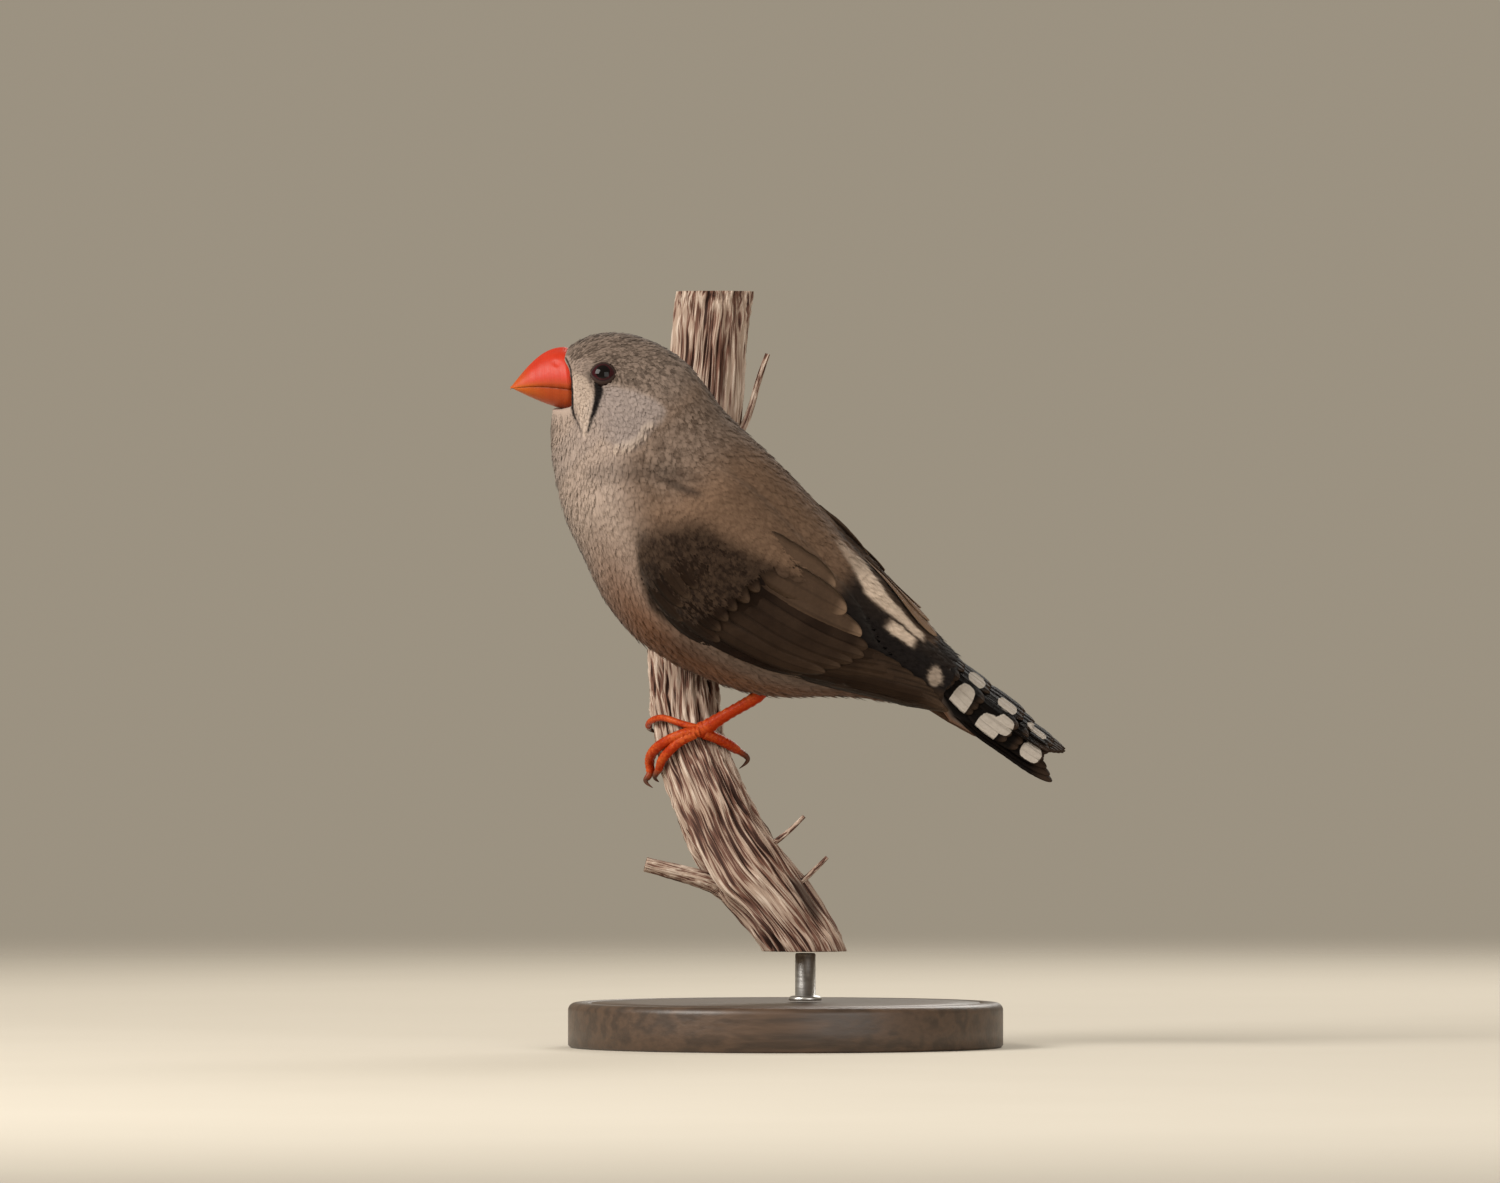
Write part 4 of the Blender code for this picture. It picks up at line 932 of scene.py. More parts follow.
def wing_flight(side, draw):
    """Primaries, secondaries and tertials of one wing."""
    shapes = []
    for i in range(9):
        place = i * 5 / 8
        lift = 1.38 - 0.085 * place
        shapes.append(wing_feather(smooth(PRIMARY_ROOTS, place), smooth(PRIMARY_TIPS, place), 3.7,
                                   (lift - 0.1, lift), side, draw, "primary", 0.16, 0.34, 26))
    for i in range(6):
        place = i * 4 / 5
        lift = 1.55 - 0.05 * place
        shapes.append(wing_feather(smooth(SECONDARY_ROOTS, place), smooth(SECONDARY_TIPS, place), 4.2,
                                   (lift - 0.2, lift), side, draw, "secondary", 0.14, 0.34, 22))
    for row, kind in zip(TERTIALS[::-1], ("tertial", "tertial", "upper")):
        shapes.append(wing_feather(row[0:2], row[2:4], row[4], row[5:7], side, draw, kind, 0.9, 0.38, 22,
                                   9 if kind == "upper" else 3))
    return joined(shapes)


FAR_VANES = (
    # the far wing closes over the rump: root and tip station and angle, lift
    ((7.9, 54), (11.3, 36), 0.85), ((7.9, 45), (11.8, 23), 0.65), ((7.9, 36), (12.25, 9.5), 0.50),
)


def far_strip(draw):
    """Tertials of the far wing whose inner edge lies near the middle of the rump."""
    return joined([wing_feather(root, tip, 4.8, (lift - 0.2, lift), -1, draw, "far", 1.0, 0.30, 26, 2)
                   for root, tip, lift in FAR_VANES])


COVERT_ROWS = (
    # kind, count, root and tip station, first and last angle, width, lift at root and tip
    ("greater", 7, 6.95, 8.45, 64, 106, 3.9, 1.65, 2.05),
    ("median", 7, 6.55, 7.65, 64.5, 103, 3.7, 1.80, 2.15),
)
WING_BEND = 0.4


def wing_coverts(side, draw):
    """Greater and median coverts: each row lies over the roots of the next."""
    shapes = []
    for kind, count, start, end, first, last, width, low, high in COVERT_ROWS:
        for i in range(count):
            share = i / (count - 1)
            angle = first + (last - first) * share
            bend = WING_BEND * share ** 2
            end_here = end + bend + draw.uniform(-0.07, 0.07)
            shapes.append(wing_feather((start + bend, angle), (end_here, angle + 1.5), width, (low, high),
                                       side, draw, kind, 0.16, 0.50, 14))
    return joined(shapes)


def wing_pad(side, rows=40, across=24):
    """Closed dark pad under the feathers, from just off the body to a little below the vanes."""
    t = np.linspace(6.5, 12.5, rows)
    upper, lower = wing_edges(t)
    v = np.linspace(0.04, 0.96, across)
    front = np.sqrt(1 - (1 - np.clip((t - 6.5) / 1.0, 0.02, 1)) ** 2)[:, None]
    v_row = 0.5 + (v - 0.5)[None, :] * (0.3 + 0.7 * front)
    angle = (upper[:, None] * (1 - v_row) + lower[:, None] * v_row) * side
    stations = np.broadcast_to(t[:, None], angle.shape)
    crown = np.sin(math.pi * (0.06 + 0.88 * v))[None, :] ** 0.7
    thin = 1 - 0.62 * step_up(t, 8.5, 12.4)[:, None]
    sunk = -0.28 - 0.20 * step_up(t, 9.0, 11.0)[:, None]
    outer = body_offset(stations, angle, sunk + 1.52 * crown * thin * (0.15 + 0.85 * front))
    inner = body_offset(stations, angle, sunk - 0.20)
    rings = np.concatenate([outer, inner[:, ::-1]], 1)
    zero = np.zeros(rings.shape[:2])
    return tube_shape(rings, {"feather": np.stack([zero, zero + 0.5, zero + 0.6], -1),
                              "detail": np.stack([zero, zero, zero], -1)})


# %% [markdown]
# Wing feathers share a brown material. Stored numbers say how dark a feather is, how pale its rim is,
# and how far along and across it a point lies. Fine slanted lines make the barbs, and the shaft is a
# thin darker line.

# %% Wing material
WING_DARK, WING_LIGHT = (0.0080, 0.0030, 0.0010), (0.170, 0.106, 0.068)
WING_RIM = (0.200, 0.130, 0.085)


def wing_finish():
    """Brown by the feather's tone, paler at the rim."""
    made = Finish("wing_feathers", Roughness=0.6)
    made.shader.inputs["Specular IOR Level"].default_value = 0.08
    tone, share, edge = (made.kept("feather", i) for i in range(3))
    barb, rim, across = (made.kept("detail", i) for i in range(3))
    fine, broad = made.noise(1.8, 4.0), made.noise(0.22, 3.0)
    lines = (barb * (TAU / 0.26) + fine * 3.0).math("SINE") * 0.5 + 0.5
    colour = made.mix(tone + share * 0.05 + (broad - 0.5) * 0.22, WING_DARK, WING_LIGHT)
    pale = edge.rise(0.70, 1.0) * rim * (0.15 + share * 0.50)
    pale = pale.math("MAXIMUM", share.rise(0.88, 0.99) * rim)
    colour = made.mix(pale, colour, WING_RIM)
    shaft = 1 - edge.rise(0.03, 0.12)
    light = 0.84 + lines * 0.10 + (fine - 0.5) * 0.45 - shaft * 0.20 + share * 0.12
    made.feed(Base_Color=made.shade(colour, light), Roughness=0.52 + fine * 0.2)
    made.bump(lines * 0.7 + fine * 0.3, 0.035)
    return made.material


WING = wing_finish()
for name, sign in SIDES.items():
    wing_draw = np.random.default_rng(20 + sign)
    node = "wing_" + name
    make_piece(node + "_pad", wing_pad(sign), WING, (node,))
    make_piece(node + "_flight", wing_flight(sign, wing_draw), WING, (node,))
    make_piece(node + "_coverts", wing_coverts(sign, wing_draw), WING, (node,))
far_draw = np.random.default_rng(9)
make_piece("wing_right_tertials", far_strip(far_draw), WING, ("wing_right",))

# %% [markdown]
# Where breast and mantle pass onto the wing there are many small lesser coverts and scapulars. They are
# the same feathers as the coat, laid over the wing's swelling, and they hide the step at its edge.

# %% Small feathers on the wing


def wing_small(side, draw):
    """Lesser coverts behind the bend of the wing, and scapulars that drape from the back over it."""
    groups = []
    for t_range, angles, spacing, length, width, depth in (
        ((5.70, 8.00), (52, 112), 0.62, 2.2, 1.35, 0.32),
        ((5.9, 10.0), (24, 66), 0.64, 2.6, 1.5, 0.40),
    ):
        t, angle = scatter(t_range, (side * angles[0], side * angles[1]), lambda t, a: spacing, draw)
        if angles[0] < 50:
            past = np.degrees(np.abs(angle)) - np.interp(t, *SCAPULAR_EDGE)
            keep = past < draw.normal(-1.0, 1.5, len(t))
            t, angle = t[keep], angle[keep]
        count = len(t)
        scale = draw.uniform(0.85, 1.15, count)
        rises = draw.uniform(0.04, 0.14, count)
        turns = draw.normal(0, 0.06, count)
        sizes = length * scale, width * scale, np.full(count, depth)
        groups.append(plumes(t, angle, turns, *sizes, rises, draw))
    return joined(groups)


for name, sign in SIDES.items():
    small = wing_small(sign, np.random.default_rng(40 + sign))
    make_piece("wing_" + name + "_small", small, PLUMAGE)

# %% [markdown]
# The tail is twelve flat black feathers in two halves that slope from the midline, under long upper
# coverts. The coverts carry the broad white spots that bar the hen's tail.

# %% The tail
TAIL_START = DATUM + np.array([40.0, 0.0, -23.0])
TAIL_SLOPE, TAIL_ROLL, TAIL_DROOP = (math.radians(v) for v in (-35.1, 33.0, 12.0))
TAIL_ACROSS = {1: (0.65, 1.7, 2.7, 3.65, 4.5), -1: (-0.9, 0.5, 1.9, 3.2, 4.5)}
TAIL_WIDTH = {1: 3.0, -1: 3.7}
TAIL_STEP = {1: 0.26, -1: 0.08}            # each outer feather lies this much lower than its neighbour
SQUARE = 2.6                               # 2 would make the spots oval, and more makes them squarer
SPOTS = {
    # white blocks of each half: distance along the tail and across it, half length, half width
    1: ((2.1, 4.2, 1.75, 4.1), (7.9, 4.9, 2.05, 2.9), (9.8, 2.6, 1.65, 2.1), (15.7, 3.3, 1.85, 1.95)),
    -1: ((2.4, 2.0, 1.65, 2.5), (8.6, 1.7, 1.85, 2.3), (14.6, 1.75, 2.0, 1.5)),
}
TAIL_ENDS = {1: (16.7, 17.4, 18.5, 19.9, 21.0), -1: (18.3, 19.1, 19.8, 20.1, 19.9)}


def tail_axes():
    """Direction of the tail and its own up and left."""
    direction = np.array([math.cos(TAIL_SLOPE), 0.0, math.sin(TAIL_SLOPE)])
    flat_up = np.array([-direction[2], 0.0, direction[0]])
    near = np.array([0.0, -1.0, 0.0])
    up = math.cos(TAIL_ROLL) * flat_up + math.sin(TAIL_ROLL) * near
    left = math.cos(TAIL_ROLL) * near - math.sin(TAIL_ROLL) * flat_up
    return direction, up, left


def tail_feather(across, start, end, width, lifts, sign, tone, draw, tip_share=0.20, spots=(), rows=44):
    """Straight feather along the tail between two lifts; white where it passes a block of the bars."""
    direction, up, left = tail_axes()
    s = np.sin(np.linspace(0, math.pi / 2, rows))
    run = start + (end - start) * s
    spread = across * (0.45 + 0.55 * np.clip((run + 7) / 14, 0, 1))
    outward = sign * math.cos(TAIL_DROOP) * left - math.sin(TAIL_DROOP) * up
    plane_up = math.cos(TAIL_DROOP) * up + sign * math.sin(TAIL_DROOP) * left
    lift = lifts[0] + (lifts[1] - lifts[0]) * s
    centre = TAIL_START + run[:, None] * direction + spread[:, None] * outward + lift[:, None] * plane_up
    half = width / 2 * long_outline(s, tip_share, 0.6)
    side, normal = (np.broadcast_to(v, centre.shape) for v in (outward, plane_up))
    shape = long_feather(centre, side, normal, half, 0.10, 0.05, tone, 0.12, draw)
    local = shape["points"] - TAIL_START
    along, out = local @ direction, local @ outward
    white = np.zeros(len(along))
    for at, middle, long_half, wide_half in spots:
        far = np.abs((along - at) / long_half) ** SQUARE + np.abs((out - middle) / wide_half) ** SQUARE
        far = far ** (1 / SQUARE)
        white = np.maximum(white, 1 - step_up(far, 0.80, 1.10))
    shape["fields"]["spot"] = white[:, None]
    return shape


UPPER_COVERTS = (
    # tip along the tail; inner, middle and outer place across it; lift at root and tip
    (0.0, 1.2, 3.3, 5.0, 2.7, 2.4),
    (5.2, 1.3, 3.3, 5.0, 2.4, 1.75),
    (11.9, 1.2, 3.2, 4.7, 1.6, 1.35),
    (14.0, 1.1, 2.9, 4.3, 1.0, 1.0),
    (18.0, 1.0, 2.6, 3.8, 0.68, 0.68),
)


def tail_shape(draw):
    """Twelve tail feathers and the tiers of upper coverts of both halves."""
    shapes = []
    for sign in (1, -1):
        for i in range(5, -1, -1):
            place = i * 4 / 5
            across, end = (float(smooth(table[sign], place)) for table in (TAIL_ACROSS, TAIL_ENDS))
            lifts = [0.35 - TAIL_STEP[sign] * place] * 2
            shapes.append(tail_feather(across, -2.5, end, TAIL_WIDTH[sign], lifts, sign, 0.3, draw, 0.26))
        for tip, inner, middle, outer, root, lift in UPPER_COVERTS[::-1]:
            for across, width, drop in ((outer, 3.2, 0.16), (middle, 3.5, 0.08), (inner, 3.4, 0.0)):
                end = tip - 0.12 * (across - inner)
                lifts = root - drop, lift - drop
                shapes.append(tail_feather(across, tip - 8.5, end, width, lifts, sign, 0.2, draw, 0.30,
                                           SPOTS[sign]))
    return joined(shapes)


def under_coverts(draw):
    """Two rows of soft buff feathers under the tail's root, coloured as the small feathers and darkened by
    painted shade.
    """
    shapes = []
    for tip, low, high in ((7.5, -4.6, -2.9), (10.5, -4.3, -2.1)):
        for sign in (1, -1):
            for across in (0.4, 1.4, 2.4, 3.3):
                end = tip - 0.5 * across + draw.uniform(-0.3, 0.3)
                tone = draw.random()
                shape = tail_feather(across, -4.0, end, 3.0, (low, high), sign, tone, draw, 0.45, (), 20)
                zero = np.zeros((len(shape["points"]), 1))
                feather = shape["fields"]["feather"] * (1, 1, 0)
                areas = np.hstack([zero, zero, zero + 0.8])
                # A wing share of 0.55 is painted shade: it turns the buff towards the wing's dark brown.
                shape["fields"] = {"lines": np.hstack([zero] * 3), "areas": areas, "wing": zero + 0.55,
                                   "feather": feather}
                shapes.append(shape)
    return joined(shapes)


def tail_finish():
    """Black with a slight brown edge, and cream-white in the stored spots."""
    made = Finish("tail_feathers", Roughness=0.55)
    made.shader.inputs["Specular IOR Level"].default_value = 0.06
    share, edge = made.kept("feather", 1), made.kept("feather", 2)
    barb, spot = made.kept("detail", 0), made.kept("spot")
    fine = made.noise(1.8, 4.0)
    lines = (barb * (TAU / 0.26) + fine * 3.0).math("SINE") * 0.5 + 0.5
    tone = (edge.rise(0.6, 1.0) * 0.4 + fine * 0.5).rise(0.2, 0.9)
    dark = made.mix(tone, (0.0025, 0.0014, 0.0010), (0.010, 0.0055, 0.0035))
    dark = made.mix(share.rise(0.82, 0.97), dark, (0.032, 0.019, 0.012))
    pale = made.mix(fine, (0.36, 0.315, 0.27), (0.50, 0.45, 0.40))
    white = (spot + (fine - 0.5) * 0.35).rise(0.42, 0.62)
    colour = made.mix(white, dark, pale)
    shaft = 1 - edge.rise(0.03, 0.12)
    shaft = shaft * (1 - white * 0.8)
    made.feed(Base_Color=made.shade(colour, 0.92 + lines * 0.08 - shaft * 0.25))
    made.feed(Roughness=0.45 + fine * 0.25)
    made.bump(lines * 0.7 + fine * 0.3, 0.035)
    return made.material


def tail_core(rows=14, sides=40):
    """Flesh and down at the tail's root: the last body sections drawn out to a thin edge."""
    turn = np.arange(sides) * TAU / sides
    rings = [body_offset(np.full(sides, t), turn, np.full(sides, -0.6)) for t in np.linspace(12.6, 13.0, 3)]
    direction, up, left = tail_axes()
    for run in np.linspace(2.5, 13.0, rows):
        tall, wide, drop = (np.interp(run, (2.5, 6.5, 10.5, 13.5), sizes) for sizes in
                            ((2.3, 1.5, 0.8, 0.3), (4.9, 4.8, 4.4, 3.4), (1.3, 1.2, 0.9, 0.7)))
        height = tall * np.cos(turn) - drop - np.abs(np.sin(turn)) * wide * math.tan(TAIL_DROOP)
        aside = np.outer(wide * np.sin(turn), left)
        rings.append(TAIL_START + direction * run + np.outer(height, up) + aside)
    rings = np.array(rings)
    zero = np.zeros(rings.shape[:2])
    buff = np.broadcast_to(step_up(np.abs(turn - math.pi), 1.9, 1.2), zero.shape)
    lines = np.stack([1 - buff, zero, zero], -1)
    return tube_shape(rings, {"lines": lines, "areas": np.stack([zero, zero, buff], -1), "wing": zero,
                              "feather": np.stack([zero + 0.5, zero + 0.4, zero], -1)})


TAIL = tail_finish()
make_piece("tail_feathers", tail_shape(np.random.default_rng(5)), TAIL, ("tail",))
make_piece("tail_root", tail_core(), PLUMAGE, ("tail",))
make_piece("tail_under", under_coverts(np.random.default_rng(6)), PLUMAGE, ("tail",))

# %% [markdown]
# The bill is waxy horn, orange-red above and more orange below, with a slightly paler cutting edge. It
# is a separate closed piece for each mandible, and the upper one closes a little over the lower.

# %% The bill
BILL_TIP = np.array([-29.3, 23.3])
BILL_ROOT = {
    "upper": np.array([-20.7, 29.3]),
    "gape": np.array([-20.0, 23.6]),
    "lower": np.array([-20.0, 19.7]),
}
BILL_BOW = {"upper": 1.55, "gape": 0.35, "lower": -0.35}
BILL_HALF_WIDTH = 4.9
BILL_ROLL = math.radians(4.0)


def mandible(top, rows=44, sides=41):
    """Half-round sections along the bill: height and half width shrink, and the outer edge bows."""
    q = np.linspace(0, 1, rows) ** 0.85
    sign = 1.0 if top else -1.0
    part = "upper" if top else "lower"
    edge = BILL_ROOT[part]
    outer = edge + np.outer(q, BILL_TIP - edge)
    outer[:, 1] += BILL_BOW[part] * np.sin(math.pi * q ** 0.9)
    gape = BILL_ROOT["gape"] + np.outer(q, BILL_TIP - BILL_ROOT["gape"])
    gape[:, 1] += BILL_BOW["gape"] * np.sin(math.pi * q) + (-0.10 if top else -0.16)
    rise = outer - gape
    rise[-1] = 0.0, sign * 0.25
    wide = BILL_HALF_WIDTH * (1.0 if top else 0.92) * (1 - q) ** 0.72 * (1 - 0.12 * q) + 0.22
    turn = np.linspace(0, math.pi, sides)
    height = np.abs(np.sin(turn)) ** 0.85
    height[[0, -1]] = 0.0
    ridge = 1 + (0.05 if top else 0.0) * np.exp(-((turn - math.pi / 2) / 0.16) ** 2)
    lip = 0.12 * np.exp(-((np.abs(turn - math.pi / 2) - math.pi / 2) / 0.22) ** 2) * sign
    x = gape[:, :1] + rise[:, :1] * height * ridge
    z = gape[:, 1:] + rise[:, 1:] * height * ridge - (lip if top else 0) * (1 - q)[:, None]
    y = -wide[:, None] * np.cos(turn) * (1 + 0.008 * np.sin(q * 40)[:, None])
    if top:
        for side in (1, -1):
            pit = ((x + 22.1) / 0.5) ** 2 + ((z - 27.2) / 0.36) ** 2
            y -= 0.35 * side * np.exp(-pit) * (np.sign(y) == side)
    rings = np.stack([x, y * math.cos(BILL_ROLL), z + y * math.sin(BILL_ROLL)], -1) + DATUM
    along = np.broadcast_to(q[:, None], x.shape)
    bill = np.stack([along, np.broadcast_to(height, x.shape), along * 0 + (1.0 if top else 0.0)], -1)
    middle = rings[0].mean(0)
    hidden = [middle + (rings[0] - middle) * size + (back, 0, 0)
              for size, back in ((0.62, 2.4), (0.84, 1.3))]
    return tube_shape(np.concatenate([hidden, rings]), {"bill": np.concatenate([bill[:1], bill[:1], bill])})


def bill_finish():
    """Orange-red above, orange below, paler at tip and edge, with fine growth lines from root to tip."""
    made = Finish("bill_horn", Coat_Roughness=0.35, IOR=1.45,
                  Subsurface_Weight=0.10, Subsurface_Scale=0.001)
    made.shader.inputs["Coat Weight"].default_value = 0.06
    made.shader.inputs["Specular IOR Level"].default_value = 0.3
    along, height, top = (made.kept("bill", i) for i in range(3))
    fine, broad = made.noise(2.2, 4.0), made.noise(0.35, 2.0)
    growth = (along * 160.0 + fine * 4.0).math("SINE") * 0.5 + 0.5
    red = made.mix(along.rise(0.55, 1.0), (0.50, 0.026, 0.006), (0.46, 0.080, 0.008))
    orange = made.mix(along.rise(0.3, 1.0), (0.33, 0.042, 0.001), (0.48, 0.100, 0.003))
    colour = made.mix(top * height.rise(0.0, 0.35), orange, red)
    light = 0.88 + growth * 0.05 + (broad - 0.5) * 0.25 + (fine - 0.5) * 0.12
    made.feed(Base_Color=made.shade(colour, light), Roughness=0.36 + fine * 0.20)
    made.bump(growth * 0.5 + fine * 0.5, 0.012)
    return made.material


BILL = bill_finish()
make_piece("bill_upper_horn", mandible(True), BILL, ("bill_upper",))
make_piece("bill_lower_horn", mandible(False), BILL, ("bill_lower",))

# %% [markdown]
# The eye is a dark ball with a red-brown iris and a clear wet front. A soft lid of bare skin rings it,
# with tiny feathers set close around, so that the eye sits in the head.

# %% Eyes and lids
PUPIL, IRIS = 0.50, 0.88                  # angles from the eye's axis, in radians


def eyeball(side, rows=40, sides=48):
    """Ball whose rows run from the front of the eye to the back; the row's angle is stored."""
    centre, axes = eye_place(side)
    tilt = np.linspace(0.01, math.pi - 0.01, rows)[:, None]
    turn = (np.arange(sides) * TAU / sides)[None, :]
    bulge = 1 + 0.03 * np.exp(-(tilt / 0.6) ** 2)
    wide = np.sin(tilt)
    local = np.stack([wide * np.cos(turn), wide * np.sin(turn), np.cos(tilt) + 0 * turn], -1)
    rings = centre + (local * (EYE_RADIUS - 0.03) * bulge[..., None]) @ axes
    gaze = np.stack([tilt + 0 * turn, 0 * tilt + np.sin(turn * 24) * 0.5, 0 * tilt + 0 * turn], -1)
    return tube_shape(rings, {"gaze": gaze})


def lid(side, rows=72, sides=18):
    """Ring of skin round the eye's opening: a flat-oval section carried round an oval path."""
    centre, axes = eye_place(side)
    turn = (np.arange(rows + 1) * TAU / rows)[:, None]
    spin = (np.arange(sides) * TAU / sides)[None, :]
    wrinkle = 1 + 0.05 * np.sin(turn * 17) * np.sin(spin)
    x, y = np.cos(turn) * (1.64 + 0.24 * np.cos(turn) ** 8), np.sin(turn) * 1.56
    lift = np.sqrt(EYE_RADIUS ** 2 - x ** 2 - y ** 2) - 0.10
    out = 0.27 * np.cos(spin) * wrinkle
    x, y = x + np.cos(turn) * out, y + np.sin(turn) * out
    lift = lift + 0.18 * np.sin(spin) * wrinkle - 0.75 * out
    rings = centre + np.stack([x, y, lift + 0 * turn], -1) @ axes
    inner = np.broadcast_to(np.clip(-np.cos(spin), 0, 1), x.shape)
    shape = {"points": rings[:-1].reshape(-1, 3), "fields": {"lid": inner[:-1].reshape(-1, 1)}}
    faces = grid_faces(rows + 1, sides)
    shape["faces"] = np.where(faces >= rows * sides, faces - rows * sides, faces)
    shape["maps"] = {"UVMap": grid_map(rows + 1, sides)}
    return outwards(shape)


def eye_finish():
    """Black pupil, red-brown iris with fine rays and a dark rim, under a clear glossy coat."""
    made = Finish("eye_glass", Roughness=0.25, Coat_Roughness=0.02, IOR=1.33, Coat_IOR=1.33)
    made.shader.inputs["Coat Weight"].default_value = 0.7
    made.shader.inputs["Specular IOR Level"].default_value = 0.0
    tilt, ray = made.kept("gaze", 0), made.kept("gaze", 1)
    fine = made.noise(3.0, 3.0)
    iris = made.mix((ray * 0.3 + fine * 0.7).rise(0.1, 0.8), (0.022, 0.004, 0.006), (0.055, 0.009, 0.012))
    colour = made.mix(tilt.rise(PUPIL - 0.03, PUPIL + 0.04), (0.004, 0.003, 0.003), iris)
    colour = made.mix(tilt.rise(IRIS - 0.06, IRIS + 0.04), colour, (0.018, 0.010, 0.009))
    made.feed(Base_Color=colour)
    return made.material


def lid_finish():
    """Grey-brown skin, darker towards the eye."""
    made = Finish("lid_skin", Roughness=0.6)
    made.shader.inputs["Specular IOR Level"].default_value = 0.1
    fine = made.noise(4.0, 3.0)
    colour = made.mix(made.kept("lid").rise(0.0, 0.7), (0.040, 0.025, 0.021), (0.010, 0.005, 0.006))
    made.feed(Base_Color=made.shade(colour, 0.75 + fine * 0.5), Roughness=0.5 + fine * 0.2)
    made.bump(fine, 0.03)
    return made.material


EYE, LID = eye_finish(), lid_finish()
for name, sign in SIDES.items():
    make_piece("eyeball_" + name, eyeball(sign), EYE, ("eye_" + name,))
    make_piece("lid_" + name, lid(sign), LID)

# %% [markdown]
# The perch is a dry stem that leans and bends. Its axis is a curve through thirteen stations, each with
# a radius. Bark, toes and claws are all placed by a height and a turn round this axis.

# %% The stem's axis
STEM = np.array([
    # x, y, z and radius
    [4.6, 0.0, 11.9, 5.75], [-0.1, 0.2, 20.4, 5.75], [-6.9, 0.6, 29.2, 5.85],
    [-11.6, 1.7, 37.8, 5.55], [-14.3, 3.6, 45.0, 5.20], [-15.5, 6.6, 51.2, 5.15],
    [-16.0, 10.9, 58.1, 5.20], [-15.9, 15.4, 65.1, 5.20], [-15.0, 18.9, 75.1, 5.30],
    [-13.9, 20.7, 87.4, 5.50], [-12.7, 21.4, 101.3, 5.70], [-11.5, 21.7, 113.6, 5.80],
    [-10.9, 21.8, 119.0, 5.80],
])
STEM_CUT, STEM_TOP = 15.0, 118.5


def stem_frame(u):
    """Axis point, radius, and the directions along it, to the camera's side and to the right."""
    row = smooth(STEM, u)
    up = unit(smooth(STEM, np.asarray(u) + 0.02)[..., :3] - smooth(STEM, np.asarray(u) - 0.02)[..., :3])
    near = np.array([0.0, -1.0, 0.0]) - up * -up[..., 1:2]
    near = unit(near)
    return row[..., :3], row[..., 3:4], up, near, np.cross(up, near)


STEM_READ = np.linspace(0, len(STEM) - 1, 400)
STEM_HEIGHTS = smooth(STEM, STEM_READ)[:, 2]


def stem_place(u, turn, clear):
    """Point at a turn round the stem and a distance off its round surface."""
    centre, radius, _, near, right = stem_frame(u)
    turn, clear = np.asarray(turn, float)[..., None], np.asarray(clear, float)[..., None]
    return centre + (radius + clear) * (np.cos(turn) * near + np.sin(turn) * right)


def stem_point(height, turn, clear):
    """The same, at a height above the ground; the axis place is corrected until the height fits."""
    height, turn = np.asarray(height, float), np.radians(turn)
    axis_height = height.copy()
    for _ in range(5):
        point = stem_place(np.interp(axis_height, STEM_HEIGHTS, STEM_READ), turn, clear)
        axis_height = axis_height + height - point[..., 2]
    return point


# %% [markdown]
# Dry fibrous bark splits into long ridges with deep grooves between. Here it is a height over the round
# stem, a sum of coarse and fine noise stretched along fibres that wander sideways. The material reads
# the same height, so the pale crests and red-brown grooves fall where the shape has them, with painted
# shade deep in the grooves and a painted highlight on the highest crests.

# %% Bark
BARK_ROWS, BARK_SIDES = 520, 180
RUN_PER_STATION = 9.3                      # millimetres of stem from one station to the next


def bark_lines(run, turn):
    """Turn of the fibre through each place: the fibres wander sideways as they run along the stem."""
    around = turn / TAU
    slow = 0.030 * (lattice(around * 6, run / 15.0, 6, 1) - 0.5)
    quick = 0.012 * (lattice(around * 16, run / 4.5, 16, 2) - 0.5)
    return around + slow + quick + run * 0.0008


def bark_height(run, around):
    """Ridges along the fibres from lattice noise: broad, middle and fine strands, and hairs."""
    broad = lattice(around * 11, run / 24.0, 11, 3)
    middle = 1 - np.abs(2 * lattice(around * 34, run / 11.0, 34, 4) - 1)
    fine = 1 - np.abs(2 * lattice(around * 60, run / 6.5, 60, 5) - 1)
    hair = lattice(around * 90, run / 2.2, 90, 6)
    return 0.12 * broad + 0.38 * middle ** 0.8 + 0.36 * fine ** 0.8 + 0.14 * hair


